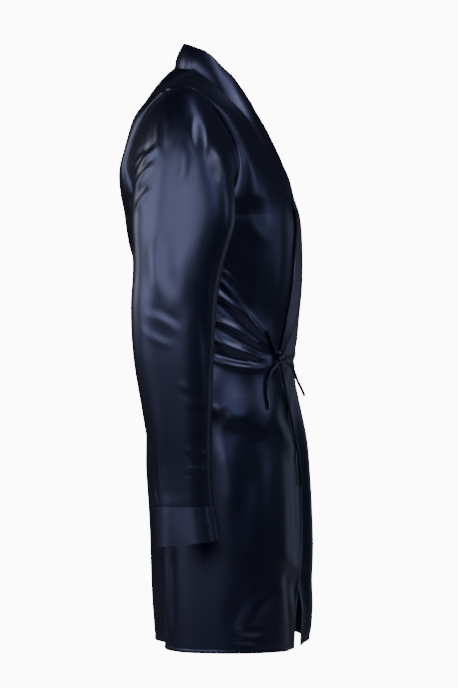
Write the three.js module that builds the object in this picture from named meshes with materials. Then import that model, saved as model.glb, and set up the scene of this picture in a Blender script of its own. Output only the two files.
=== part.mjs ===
// A wrap robe of silk cloth in its worn shape, open and hollow: back, two fronts, two set-in
// sleeves with cuffs, a neckband in three lengths, and the waist ties with their knot.
// Millimetres, +Z up, the front faces -Y, the wearer's right is -X. The origin is at the neck.
import * as THREE from 'three';

const CLOTH = 1.2; // wall of a panel or sleeve
const BAND = 2.0; // wall of the neckband and the cuffs, which are folded double
const SEAM = 0.4; // half the gap left at a sewn seam
const LAP = 3.6; // how far the outer front lies off the inner one
const TIE = 4.6; // thickness of a waist tie
const ROWS_PER_LEVEL = 2;
const FRONT_COLUMNS = 12;
const BACK_COLUMNS = 20;
const SLEEVE_STEPS = 15;
const CUFF_DEPTH = 47;
const CUFF_TILT = 4.5; // how much higher the cuff's hem is in front than in the middle
const ARMPIT_LEVEL = 10; // index into LEVELS: side seam below, armhole above
const KNOT_LEVEL = 6; // index into LEVELS: the waist

// One row per level of the body, hem to shoulder, right half. Centre: height, y of the front
// and of the back. Side: x and y of the seam (front and back armhole above the armpit) and height.
// square: 2 is an ellipse, more is boxier.
const LEVELS = [
  // zc, front and back y of the centre; x, front and back y and z of the side; square
  { zc: -790, front: -122, back: 66, x: 168, yf: -26, yb: -26, zs: -776, square: 2.3 },
  { zc: -732, front: -125, back: 70, x: 168, yf: -26, yb: -26, zs: -725, square: 2.3 },
  { zc: -668, front: -129, back: 73, x: 167, yf: -26, yb: -26, zs: -664, square: 2.3 },
  { zc: -596, front: -127, back: 75, x: 165, yf: -25, yb: -25, zs: -594, square: 2.3 },
  { zc: -518, front: -123, back: 77, x: 161, yf: -22, yb: -22, zs: -518, square: 2.2 },
  { zc: -450, front: -120, back: 77, x: 153, yf: -18, yb: -18, zs: -450, square: 2.1 },
  { zc: -396, front: -120, back: 76, x: 147, yf: -14, yb: -14, zs: -396, square: 2.05 },
  { zc: -350, front: -123, back: 78, x: 147, yf: -11, yb: -11, zs: -350, square: 2.1 },
  { zc: -300, front: -127, back: 84, x: 151, yf: -6, yb: -6, zs: -300, square: 2.2 },
  { zc: -250, front: -127, back: 95, x: 158, yf: 0, yb: 0, zs: -252, square: 2.3 },
  { zc: -205, front: -124, back: 103, x: 163, yf: 6, yb: 6, zs: -212, square: 2.4 },
  { zc: -172, front: -114, back: 105, x: 154, yf: -46, yb: 58, zs: -186, square: 2.5 },
  { zc: -140, front: -102, back: 102, x: 150, yf: -64, yb: 79, zs: -152, square: 2.5 },
  { zc: -106, front: -87, back: 94, x: 151, yf: -60, yb: 73, zs: -118, square: 2.4 },
  { zc: -72, front: -69, back: 86, x: 163, yf: -42, yb: 52, zs: -83, square: 2.2 },
  { zc: -36, front: -41, back: 71, x: 182, yf: -25, yb: 28, zs: -60.5, square: 2.0 },
  { zc: -14, front: -19, back: 57, x: 191, yf: -14, yb: 16, zs: -52.6, square: 2.0 },
  { zc: 8, front: 3, back: 40, x: 197, yf: 0, yb: 0, zs: -50, square: 2.0 },
];
const TOP = LEVELS.length - 1;
const NECK = { x: 72, y: 4, z: -12 }; // where shoulder seam and neckband meet
const NECK_BACK = { y: 40, z: -4 };

// Across the front, one row per height, in x: the sewn edge of each front (seam) and the free
// edge of its band (fold). Below the knot the two meet in the turned edge of the front.
const EDGES = [
  // z, right front: seam and fold, left front: seam and fold
  { z: -790, rightSeam: -4, rightFold: -4, leftSeam: 16, leftFold: 16 },
  { z: -740, rightSeam: -1, rightFold: -1, leftSeam: 13, leftFold: 13 },
  { z: -700, rightSeam: 3, rightFold: 3, leftSeam: 9, leftFold: 9 },
  { z: -664, rightSeam: 13, rightFold: 13, leftSeam: -1, leftFold: -1 },
  { z: -600, rightSeam: 19, rightFold: 19, leftSeam: -8, leftFold: -8 },
  { z: -530, rightSeam: 19, rightFold: 19, leftSeam: -16, leftFold: -16 },
  { z: -505, rightSeam: 6, rightFold: 6, leftSeam: -26, leftFold: -26 },
  { z: -476, rightSeam: -24, rightFold: -24, leftSeam: -48, leftFold: -48 },
  { z: -430, rightSeam: -57, rightFold: -57, leftSeam: -69, leftFold: -69 },
  { z: -404, rightSeam: -72, rightFold: -72, leftSeam: -69.5, leftFold: -69.5 },
  { z: -396, rightSeam: -76, rightFold: -75, leftSeam: -68, leftFold: -70 },
  { z: -388, rightSeam: -74, rightFold: -70, leftSeam: -58, leftFold: -69.5 },
  { z: -350, rightSeam: -62, rightFold: -30, leftSeam: -16, leftFold: -57 },
  { z: -300, rightSeam: -44, rightFold: -2, leftSeam: 2, leftFold: -45 },
  { z: -260, rightSeam: -33, rightFold: 9, leftSeam: 6, leftFold: -38 },
  { z: -225, rightSeam: -27, rightFold: 14, leftSeam: 17, leftFold: -25 },
  { z: -180, rightSeam: -37, rightFold: 2, leftSeam: 37, leftFold: -2 },
  { z: -156, rightSeam: -50, rightFold: -11, leftSeam: 50, leftFold: 11 },
  { z: -118, rightSeam: -65, rightFold: -26, leftSeam: 65, leftFold: 26 },
  { z: -86, rightSeam: -72, rightFold: -34, leftSeam: 72, leftFold: 34 },
  { z: -46, rightSeam: -78, rightFold: -40, leftSeam: 78, leftFold: 40 },
  { z: -12, rightSeam: -72, rightFold: -40, leftSeam: 72, leftFold: 40 },
];

// The free edge of the neckband where it stands off the chest, by the height of its seam. x is
// counted towards the band's own side; it is negative where the band has crossed the middle.
// The left side lies closer to the chest.
const STAND = [
  { z: -205, x: -10, right: -122, left: -126, up: 4 },
  { z: -180, x: -3, right: -119, left: -119, up: 13 },
  { z: -157, x: 14, right: -110, left: -105, up: 18 },
  { z: -118, x: 30, right: -89, left: -80, up: 27 },
  { z: -86, x: 41, right: -69, left: -59, up: 32 },
  { z: -75, x: 44, right: -61, left: -52, up: 33 },
  { z: -58, x: 51, right: -46, left: -36, up: 38 },
  { z: -46, x: 55, right: -33, left: -27, up: 38 },
  { z: -33, x: 59, right: -20, left: -16, up: 39 },
  { z: -21, x: 61, right: -9, left: -8, up: 35 },
  { z: -12, x: 62, right: 2, left: 2, up: 30 },
];
const STAND_BACK = { y: 28, z: 29 }; // the band's free edge behind the neck

// The largest folds: a soft ridge (height above zero) or trough along a line in x and z.
const FOLDS = [
  // side is front or back; ends in x and z; height, half width
  { side: 'front', x0: -74, z0: -388, x1: -150, z1: -318, height: 3.2, width: 13 },
  { side: 'front', x0: -76, z0: -394, x1: -152, z1: -362, height: -3.0, width: 12 },
  { side: 'front', x0: -78, z0: -402, x1: -150, z1: -398, height: 3.4, width: 13 },
  { side: 'front', x0: -34, z0: -400, x1: 130, z1: -372, height: -2.6, width: 12 },
  { side: 'front', x0: -30, z0: -410, x1: 132, z1: -402, height: 2.6, width: 13 },
  { side: 'front', x0: 76, z0: -820, x1: 60, z1: -410, height: 21, width: 38 },
  { side: 'front', x0: -70, z0: -690, x1: -22, z1: -800, height: -3.5, width: 12 },
  { side: 'back', x0: -140, z0: -152, x1: 140, z1: -156, height: 3.5, width: 16 },
  { side: 'back', x0: -88, z0: -830, x1: -96, z1: -570, height: -26, width: 34 },
  { side: 'back', x0: 96, z0: -810, x1: 104, z1: -620, height: -6, width: 16 },
  { side: 'back', x0: -130, z0: -392, x1: 130, z1: -390, height: -3, width: 20 },
];

// The right sleeve below the cap, one row per ring: front and back y, inner and outer x, height.
const SLEEVE = [
  { z: -236, front: -68, back: 58, inner: -174, outer: -270 },
  { z: -285, front: -55, back: 56, inner: -176, outer: -274 },
  { z: -335, front: -48, back: 58, inner: -177, outer: -276 },
  { z: -398, front: -45, back: 54, inner: -179, outer: -276 },
  { z: -480, front: -43, back: 40, inner: -182, outer: -273 },
  { z: -530, front: -43, back: 31, inner: -184, outer: -270 },
  { z: -580, front: -45, back: 29, inner: -185, outer: -268 },
];
const CUFF_HEM = { front: -53, back: 28, inner: -185, outer: -271 };

// The knot of the waist ties, and each free length: the way it leaves the knot, then its path as
// x and z on the cloth and how far the middle of the tie stands off it.
const KNOT = { x: -74, z: -397, off: 7.4, width: 15, depth: 11.5, height: 13 };
const TIES = {
  tie_from_slit: {
    leaves: [-0.62, 0.1, 0.78],
    path: [[-84, -386.5, 4.5], [-92, -377, 3.4], [-98, -368, 3], [-103, -361, 2.8]],
  },
  tie_tail_right: {
    leaves: [-0.76, 0.12, -0.66],
    path: [[-86, -408.5, 3.6], [-95, -419, 2.9], [-103, -440, 2.8], [-108, -463, 2.8]],
  },
  tie_tail_left: {
    leaves: [0.84, -0.2, -0.5],
    path: [[-60, -404, 9.5], [-50, -411, 12], [-38, -427, 14], [-29, -438, 17], [-22, -447, 19]],
  },
  tie_tail_long: {
    leaves: [0.2, 0.12, -0.97],
    path: [
      [-68, -413, 4.6], [-61, -428, 3.3], [-51, -450, 3.1], [-35, -478, 3.1],
      [-12, -507, 3.1], [4, -537, 3.1], [11, -570, 3.1],
    ],
  },
};

// Smooth interpolation of one column of a table, at a fractional row.
function column(table, key, at) {
  const i = Math.min(Math.max(Math.floor(at), 0), table.length - 2);
  const f = at - i;
  const value = (k) => table[Math.min(Math.max(k, 0), table.length - 1)][key];
  const slope = (k) => (value(k + 1) - value(k - 1)) / (k > 0 && k < table.length - 1 ? 2 : 1);
  const a = value(i), b = value(i + 1), f2 = f * f, f3 = f2 * f;
  return (2 * f3 - 3 * f2 + 1) * a + (f3 - 2 * f2 + f) * slope(i)
    + (3 * f2 - 2 * f3) * b + (f3 - f2) * slope(i + 1);
}

// The fractional row of a table whose z column rises, at a height.
function rowAt(table, key, z) {
  let i = 0;
  while (i < table.length - 2 && table[i + 1][key] < z) i++;
  const share = (z - table[i][key]) / (table[i + 1][key] - table[i][key]);
  return i + Math.min(Math.max(share, 0), 1);
}

const smooth = (lo, hi, v) => THREE.MathUtils.smoothstep(v, lo, hi);

// How far the folds of one side lift the cloth at x, z.
function relief(side, x, z) {
  let lift = 0;
  for (const f of FOLDS) {
    if (f.side !== side) continue;
    const dx = f.x1 - f.x0, dz = f.z1 - f.z0, length = Math.hypot(dx, dz);
    const along = ((x - f.x0) * dx + (z - f.z0) * dz) / (length * length);
    const across = ((x - f.x0) * dz - (z - f.z0) * dx) / length;
    const fade = smooth(-0.12, 0.15, along) * (1 - smooth(0.7, 1.12, along));
    lift += f.height * fade * Math.exp(-((across / f.width) ** 2));
  }
  return lift;
}

// The body's surface: level (fractional), x, and which side. Returns a point of the cloth's face.
function bodyPoint(side, level, x) {
  const at = (key) => column(LEVELS, key, level);
  const half = at('x');
  const u = Math.min(Math.abs(x) / half, 1);
  const square = at('square');
  const bow = (1 - u ** square) ** (1 / square);
  const open = level > ARMPIT_LEVEL; // one seam up to the armpit, then an armhole front and back
  const ySide = open ? at(side === 'front' ? 'yf' : 'yb') : (at('yf') + at('yb')) / 2;
  const zc = side === 'front' ? at('zc') : Math.max(at('zc'), at('zs')); // the fronts dip at the hem
  const z = zc + (at('zs') - zc) * u ** 1.2;
  const sign = side === 'front' ? -1 : 1;
  let y = ySide + (at(side) - ySide) * bow + sign * (SEAM + relief(side, x, z) * bow);
  return new THREE.Vector3(x, y, z);
}

// A point of the shoulder seam at x; the front lies forward of it, the back behind.
function shoulder(side, x) {
  const s = (Math.abs(x) - NECK.x) / (LEVELS[TOP].x - NECK.x);
  const y = NECK.y * (1 - s) + (side === 'front' ? -SEAM : SEAM);
  return new THREE.Vector3(x, y, NECK.z + (LEVELS[TOP].zs - NECK.z) * s);
}

// The back neckline and shoulder seams, at x.
function backTop(x) {
  const a = Math.abs(x);
  if (a > NECK.x) return shoulder('back', x);
  const s = a / NECK.x;
  const y = NECK.y + (NECK_BACK.y - NECK.y) * Math.sqrt(1 - s * s);
  return new THREE.Vector3(x, y + SEAM, NECK_BACK.z + (NECK.z - NECK_BACK.z) * s * s);
}

// A thin closed wall from a grid of points on its outer face; normals point out of the cloth.
// grid[row][column]; closed joins the last column to the first. fix may change an edge normal.
function wall(grid, thick, { closed = false, flip = false, fix = null } = {}) {
  const rows = grid.length, cols = grid[0].length;
  const normals = grid.map((row, r) => row.map((p, c) => {
    const up = grid[Math.min(r + 1, rows - 1)][c].clone().sub(grid[Math.max(r - 1, 0)][c]);
    const next = closed ? row[(c + 1) % cols] : row[Math.min(c + 1, cols - 1)];
    const last = closed ? row[(c - 1 + cols) % cols] : row[Math.max(c - 1, 0)];
    const n = next.clone().sub(last).cross(up).normalize();
    if (flip) n.negate();
    if (fix) fix(n, r, c);
    return n.normalize();
  }));
  const inner = grid.map((row, r) => row.map((p, c) => p.clone().addScaledVector(normals[r][c], -thick)));
  const points = [...grid.flat(), ...inner.flat()];
  const at = (layer, r, c) => layer * rows * cols + r * cols + (c % cols);
  const faces = [];
  const quad = (a, b, c, d) => {
    const span = (i, k) => points[i].distanceTo(points[k]);
    const [p, q, r, t] = span(a, c) <= span(b, d) ? [a, b, c, d] : [b, c, d, a];
    faces.push(...(flip ? [p, r, q, p, t, r] : [p, q, r, p, r, t]));
  };
  const spans = closed ? cols : cols - 1;
  for (let r = 0; r < rows - 1; r++) {
    for (let c = 0; c < spans; c++) {
      quad(at(0, r, c), at(0, r, c + 1), at(0, r + 1, c + 1), at(0, r + 1, c));
      quad(at(1, r, c), at(1, r + 1, c), at(1, r + 1, c + 1), at(1, r, c + 1));
    }
    if (!closed) {
      quad(at(0, r, 0), at(0, r + 1, 0), at(1, r + 1, 0), at(1, r, 0));
      quad(at(0, r, spans), at(1, r, spans), at(1, r + 1, spans), at(0, r + 1, spans));
    }
  }
  for (let c = 0; c < spans; c++) {
    const top = rows - 1;
    quad(at(0, 0, c), at(1, 0, c), at(1, 0, c + 1), at(0, 0, c + 1));
    quad(at(0, top, c), at(0, top, c + 1), at(1, top, c + 1), at(1, top, c));
  }
  const geometry = new THREE.BufferGeometry().setFromPoints(points).setIndex(faces);
  geometry.computeVertexNormals();
  return geometry;
}

// A cord of round section along a smooth path, closed at both ends.
function cord(path, thick, sides = 8, steps = 14) {
  const curve = new THREE.CatmullRomCurve3(path);
  const points = [], faces = [];
  const side = new THREE.Vector3(), other = new THREE.Vector3();
  for (let i = 0; i <= steps; i++) {
    const centre = curve.getPointAt(i / steps), tangent = curve.getTangentAt(i / steps);
    side.set(0, 1, 0).cross(tangent).normalize();
    other.copy(tangent).cross(side);
    for (let k = 0; k < sides; k++) {
      const a = (2 * Math.PI * k) / sides;
      points.push(centre.clone().addScaledVector(side, 0.5 * thick * Math.cos(a))
        .addScaledVector(other, 0.5 * thick * Math.sin(a)));
    }
  }
  for (let i = 0; i < steps; i++) {
    for (let k = 0; k < sides; k++) {
      const a = i * sides + k, b = i * sides + ((k + 1) % sides);
      faces.push(a, b, b + sides, a, b + sides, a + sides);
    }
  }
  for (let k = 1; k < sides - 1; k++) {
    faces.push(0, k + 1, k);
    const last = steps * sides;
    faces.push(last, last + k, last + k + 1);
  }
  const geometry = new THREE.BufferGeometry().setFromPoints(points).setIndex(faces);
  geometry.computeVertexNormals();
  return geometry;
}

const levelList = Array.from({ length: TOP * ROWS_PER_LEVEL + 1 }, (_, i) => i / ROWS_PER_LEVEL);
levelList.push(KNOT_LEVEL - 0.14, KNOT_LEVEL + 0.17); // the fronts change places at the knot
levelList.sort((a, b) => a - b);
const armpitRow = levelList.indexOf(ARMPIT_LEVEL);

// How far the left front lies outside (above the knot) or inside (below it) the right front.
function lapAt(x, z) {
  const above = smooth(-403, -390, z), nearby = 1 - smooth(34, 96, x);
  const hem = 1 - smooth(-745, -690, z);
  return nearby * (LAP * above - LAP * (1 - above) * (1 - hem) + 5 * hem);
}

// A point of the front's cloth at a level: settled onto the shoulder seam at the top.
function frontPoint(hand, level, x) {
  const p = bodyPoint('front', level, x);
  const u = Math.abs(x) / column(LEVELS, 'x', level);
  p.lerp(shoulder('front', x), smooth(TOP - 3.2, TOP, level) * (level === TOP ? 1 : 1 - u ** 8));
  if (hand > 0) p.y -= lapAt(x, p.z);
  return p;
}

// The x of a front's sewn or free edge at a level.
function edgeAt(hand, kind, level) {
  const key = (hand < 0 ? 'right' : 'left') + kind;
  let edge = column(EDGES, key, rowAt(EDGES, 'z', column(LEVELS, 'zc', level)));
  for (let pass = 0; pass < 3; pass++) {
    edge = column(EDGES, key, rowAt(EDGES, 'z', frontPoint(hand, level, edge).z));
  }
  return level === TOP && kind === 'Seam' ? hand * NECK.x : edge;
}

// One front: columns run from the side seam to the front edge.
function frontPanel(hand) {
  const grid = levelList.map((level) => {
    const half = column(LEVELS, 'x', level);
    const edge = hand * (edgeAt(hand, 'Seam', level) + hand * SEAM);
    const end = Math.asin(Math.max(-1, Math.min(1, edge / half)));
    return Array.from({ length: FRONT_COLUMNS + 1 }, (_, c) => {
      const a = Math.PI / 2 + (end - Math.PI / 2) * (c / FRONT_COLUMNS);
      return frontPoint(hand, level, hand * half * Math.sin(a));
    });
  });
  const fix = (n, r, c) => {
    if (r === grid.length - 1 || (c === 0 && r <= armpitRow)) n.y = 0;
  };
  return wall(grid, CLOTH, { flip: hand > 0, fix });
}

function backPanel() {
  const neckColumns = 8, shoulderColumns = (BACK_COLUMNS - neckColumns) / 2;
  const neck = NECK.x / LEVELS[TOP].x, topShares = [];
  for (let c = 0; c <= BACK_COLUMNS; c++) {
    const fromEnd = Math.min(c, BACK_COLUMNS - c), sign = c < BACK_COLUMNS / 2 ? -1 : 1;
    topShares.push(sign * (fromEnd <= shoulderColumns
      ? 1 + (neck - 1) * (fromEnd / shoulderColumns)
      : neck * Math.cos((Math.PI / 2) * ((fromEnd - shoulderColumns) / (neckColumns / 2)))));
  }
  const grid = levelList.map((level) => {
    const half = column(LEVELS, 'x', level);
    const pull = smooth(TOP - 5, TOP, level), settle = smooth(TOP - 3.2, TOP, level);
    return topShares.map((topShare, c) => {
      const low = Math.sin(Math.PI * (c / BACK_COLUMNS - 0.5));
      const share = low + (topShare - low) * pull;
      const onSeam = settle * (level === TOP ? 1 : 1 - Math.abs(share) ** 8);
      return bodyPoint('back', level, half * share).lerp(backTop(half * share), onSeam);
    });
  });
  const fix = (n, r, c) => {
    const sideSeam = (c === 0 || c === BACK_COLUMNS) && r <= armpitRow;
    const shoulder = r === grid.length - 1
      && (c <= shoulderColumns || c >= BACK_COLUMNS - shoulderColumns);
    if (sideSeam || shoulder) n.y = 0;
  };
  return wall(grid, CLOTH, { fix, flip: true });
}

// The armhole of the right side: points up the front from the armpit and down the back.
function armhole() {
  const levels = levelList.filter((l) => l >= ARMPIT_LEVEL);
  const point = (level, key) => new THREE.Vector3(
    -column(LEVELS, 'x', level), column(LEVELS, key, level), column(LEVELS, 'zs', level));
  return [...levels.map((l) => point(l, 'yf')), ...levels.slice(1, -1).reverse().map((l) => point(l, 'yb'))];
}

// A point of a rounded ring given by its front, back, inner and outer sides, at an angle that
// counts from the inner side over the front.
function ringPoint({ front, back, inner, outer }, angle, z) {
  const c = Math.cos(angle), s = Math.sin(angle), square = 2.6;
  const r = 1 / (Math.abs(c) ** square + Math.abs(s) ** square) ** (1 / square);
  return new THREE.Vector3((inner + outer) / 2 + ((inner - outer) / 2) * c * r,
    (front + back) / 2 - ((back - front) / 2) * s * r, z);
}

// One ring of the sleeve at a fractional row of its table, matched to the armhole's points.
function sleeveRing(at, angles) {
  const [front, back, inner, outer, z] = ['front', 'back', 'inner', 'outer', 'z']
    .map((key) => column(SLEEVE, key, at));
  return angles.map((a) => ringPoint({ front, back, inner, outer }, a, z));
}

// Soft folds of a sleeve: how far the cloth lifts at an angle (0 inner, a quarter turn front).
function sleeveRelief(a, z) {
  const bump = (a0, z0, wa, wz, h) => {
    const da = Math.atan2(Math.sin(a - a0), Math.cos(a - a0));
    return h * Math.exp(-((da / wa) ** 2) - (((z - z0) / wz) ** 2));
  };
  return bump(1.9, -330, 0.5, 90, -3.5) + bump(3.9, -150, 0.5, 30, 3) + bump(4.2, -205, 0.5, 22, -3)
    + bump(3.1, -470, 1.2, 10, 2.5) + bump(3.1, -500, 1.2, 9, -2.2) + bump(4.5, -545, 0.6, 30, -3);
}

function sleeve() {
  const holes = armhole(), n = holes.length;
  const angles = holes.map((_, i) => (2 * Math.PI * i) / n);
  const first = sleeveRing(0, angles), next = sleeveRing(0.05, angles);
  const capSteps = 6, grid = [];
  for (let k = 0; k <= capSteps; k++) {
    const t = k / capSteps, t2 = t * t, t3 = t2 * t;
    grid.push(holes.map((hole, i) => {
      const start = hole.clone();
      start.x -= 3 * SEAM;
      const reach = start.distanceTo(first[i]);
      const crown = (1 - Math.cos(angles[i])) / 2;
      const away = new THREE.Vector3(-0.95, 0, -0.25 - 0.2 * (1 - crown)).setLength(reach * 1.15);
      const down = next[i].clone().sub(first[i]).setLength(reach * (0.75 + 0.45 * crown));
      return start.multiplyScalar(2 * t3 - 3 * t2 + 1).addScaledVector(away, t3 - 2 * t2 + t)
        .addScaledVector(first[i], 3 * t2 - 2 * t3).addScaledVector(down, t3 - t2);
    }));
  }
  const armSteps = SLEEVE_STEPS - capSteps;
  for (let k = 1; k <= armSteps; k++) grid.push(sleeveRing((SLEEVE.length - 1) * (k / armSteps), angles));
  grid.forEach((row, r) => {
    if (r === 0) return;
    const middle = row.reduce((sum, p) => sum.add(p), new THREE.Vector3()).divideScalar(n);
    const fade = Math.min(1, r / 2) * Math.min(1, (grid.length - 1 - r) / 2);
    row.forEach((p, i) => {
      const out = p.clone().sub(middle).setZ(0).normalize();
      p.addScaledVector(out, sleeveRelief(angles[i], p.z) * fade);
    });
  });
  return wall(grid, CLOTH, { closed: true, flip: true });
}

function cuff() {
  const n = armhole().length;
  const angles = Array.from({ length: n }, (_, i) => (2 * Math.PI * i) / n);
  const top = sleeveRing(SLEEVE.length - 1, angles);
  const grid = [0, 0.5, 1].map((t) => top.map((p, i) => {
    const hem = ringPoint(CUFF_HEM, angles[i], p.z - CUFF_DEPTH + CUFF_TILT * Math.sin(angles[i]));
    const q = p.clone().lerp(hem, t);
    q.z -= 2 * SEAM;
    return q;
  }));
  return wall(grid, BAND, { closed: true, flip: true });
}

// The neckband: sections from the knot up the right front, round the neck and down the left.
function neckband() {
  const across = 4, backSteps = 10;
  const section = (seam, fold, roll) => Array.from({ length: across + 1 }, (_, c) => {
    const t = c / across;
    const p = seam.clone().lerp(fold, t);
    const out = new THREE.Vector3(p.x, p.y - 5, 0).normalize();
    return p.addScaledVector(out, roll * Math.sin(Math.PI * t));
  });
  const side = (hand) => levelList.filter((l) => l >= KNOT_LEVEL).map((level) => {
    const seam = frontPoint(hand, level, edgeAt(hand, 'Seam', level) - hand * SEAM);
    const fold = frontPoint(hand, level, edgeAt(hand, 'Fold', level));
    const row = rowAt(STAND, 'z', seam.z);
    const up = smooth(-232, -182, seam.z);
    const stand = new THREE.Vector3(hand * column(STAND, 'x', row),
      column(STAND, hand < 0 ? 'right' : 'left', row), seam.z + column(STAND, 'up', row));
    return section(seam, fold.lerp(stand, up), 3.2 * smooth(-200, -60, seam.z));
  });
  const back = Array.from({ length: backSteps - 1 }, (_, k) => {
    const a = Math.PI * ((k + 1) / backSteps);
    const x = -Math.cos(a), deep = Math.sin(a);
    const seam = backTop(NECK.x * x).sub(new THREE.Vector3(0, 3 * SEAM, 0));
    seam.x *= 1 - 2 * SEAM / NECK.x;
    const last = STAND[STAND.length - 1];
    const fold = new THREE.Vector3(last.x * x, last.left + (STAND_BACK.y - last.left) * deep,
      NECK.z + last.up + (STAND_BACK.z - NECK.z - last.up) * deep);
    return section(seam, fold, 3.2);
  });
  return wall([...side(-1), ...back, ...side(1).reverse()], BAND, { flip: false });
}

// A point off the front's cloth: x and z, and how far out of the cloth's face.
function offFront(x, z, off) {
  let level = rowAt(LEVELS, 'zc', z);
  for (let pass = 0; pass < 8; pass++) level += (z - bodyPoint('front', level, x).z) / 60;
  const p = frontPoint(x > -60 ? 1 : -1, level, x);
  return new THREE.Vector3(x, Math.min(p.y, bodyPoint('front', level, x).y) - off, z);
}

const knotMiddle = offFront(KNOT.x, KNOT.z, KNOT.off);

// The knot's surface: a lump with the turns of the tie standing out as slanting ridges.
function knotPoint(a, b) {
  const r = 0.5 * (1 + 0.09 * Math.sin(b) * Math.cos(3 * a + 2.4 * Math.cos(b)));
  return new THREE.Vector3(KNOT.width * r * Math.sin(b) * Math.cos(a),
    KNOT.depth * r * Math.sin(b) * Math.sin(a), KNOT.height * r * Math.cos(b)).add(knotMiddle);
}

// The path of one tie: it starts just clear of the knot, in the direction it leaves.
function tiePath({ leaves, path }) {
  const out = new THREE.Vector3(...leaves).normalize();
  const size = new THREE.Vector3(KNOT.width, KNOT.depth, KNOT.height).multiplyScalar(0.5);
  const reach = 1 / out.clone().divide(size).length();
  const start = knotMiddle.clone().addScaledVector(out, reach * 1.05 + 2 * SEAM);
  return [start, ...path.map((p) => offFront(...p))];
}

function knot() {
  const rings = 10, sides = 16, points = [], faces = [];
  const at = knotPoint;
  points.push(at(0, 0), at(0, Math.PI));
  for (let i = 1; i < rings; i++) {
    for (let k = 0; k < sides; k++) points.push(at((2 * Math.PI * k) / sides, (Math.PI * i) / rings));
  }
  const id = (i, k) => 2 + (i - 1) * sides + (k % sides);
  for (let k = 0; k < sides; k++) {
    faces.push(0, id(1, k), id(1, k + 1), 1, id(rings - 1, k + 1), id(rings - 1, k));
    for (let i = 1; i < rings - 1; i++) {
      faces.push(id(i, k), id(i + 1, k), id(i + 1, k + 1), id(i, k), id(i + 1, k + 1), id(i, k + 1));
    }
  }
  const geometry = new THREE.BufferGeometry().setFromPoints(points).setIndex(faces);
  geometry.computeVertexNormals();
  return geometry;
}

const cloth = new THREE.MeshStandardMaterial({ color: 0x10131f, roughness: 0.42, metalness: 0 });
const root = new THREE.Group();
function add(name, geometry, { mirror = false } = {}) {
  const mesh = new THREE.Mesh(geometry, cloth);
  mesh.name = name;
  if (mirror) mesh.scale.x = -1;
  root.add(mesh);
}

add('back', backPanel());
add('front_right', frontPanel(-1));
add('front_left', frontPanel(1));
add('sleeve_right', sleeve());
add('sleeve_left', sleeve(), { mirror: true });
add('cuff_right', cuff());
add('cuff_left', cuff(), { mirror: true });
add('neckband', neckband());
add('tie_knot', knot());
for (const [name, tie] of Object.entries(TIES)) add(name, cord(tiePath(tie), TIE));

export default root;
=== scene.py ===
"""Looks of a silk kimono wrap robe: satin panels with their folds, hems, stitching and waist ties.

The robe's form is the same set of tables as its solids, drawn finer. Tables are in millimetres, in
the part's frame (+Z up, front to -Y, the wearer's right at -X); meshes are made in metres.
"""

import logging
import math
from dataclasses import dataclass, field
from enum import Enum
from typing import ClassVar

import bmesh
import bpy
import numpy as np
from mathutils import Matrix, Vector


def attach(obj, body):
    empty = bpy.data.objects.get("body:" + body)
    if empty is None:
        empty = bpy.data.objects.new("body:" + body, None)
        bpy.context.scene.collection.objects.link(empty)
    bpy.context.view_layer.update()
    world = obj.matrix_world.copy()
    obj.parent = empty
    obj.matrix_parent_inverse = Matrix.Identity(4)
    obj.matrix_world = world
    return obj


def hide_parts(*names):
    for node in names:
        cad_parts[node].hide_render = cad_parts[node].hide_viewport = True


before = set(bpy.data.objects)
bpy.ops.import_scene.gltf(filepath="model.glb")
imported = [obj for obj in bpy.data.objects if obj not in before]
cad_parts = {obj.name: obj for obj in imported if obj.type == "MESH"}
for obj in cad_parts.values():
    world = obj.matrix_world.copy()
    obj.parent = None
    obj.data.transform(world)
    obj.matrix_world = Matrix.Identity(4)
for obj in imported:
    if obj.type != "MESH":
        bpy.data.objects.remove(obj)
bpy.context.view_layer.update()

log = logging.getLogger("robe")
MM = 0.001

# ---- sizes shared with the solids ----
LAP = 3.6  # how far the outer front lies off the inner one
ARMPIT_LEVEL = 10
KNOT_LEVEL = 6
TURN = (-404.0, -396.0)  # below these heights a front's edge is turned; above them it meets the band
NECK_X, NECK_Y, NECK_Z = 72.0, 4.0, -12.0
NECK_BACK_Y, NECK_BACK_Z = 40.0, -4.0
CUFF_DEPTH, CUFF_TILT = 47.0, 4.5
TIE = 4.6
# ---- sizes of the drawn cloth ----
CLOTH = 0.9
DOUBLE = 1.7  # the neckband and cuffs, folded double
HEM_STITCH = 5.0  # how far above the hem its stitching runs
EDGE_STITCH = 10.0  # how far inside a front's edge its stitching runs
SLIT = {"x": -103.0, "z": -359.0, "half": 8.0, "gap": 1.0}  # the slit for a tie, in the right front


class Side(Enum):
    """A side of the robe, by the sign of x: the wearer's right is negative."""

    RIGHT = -1
    LEFT = 1


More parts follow.
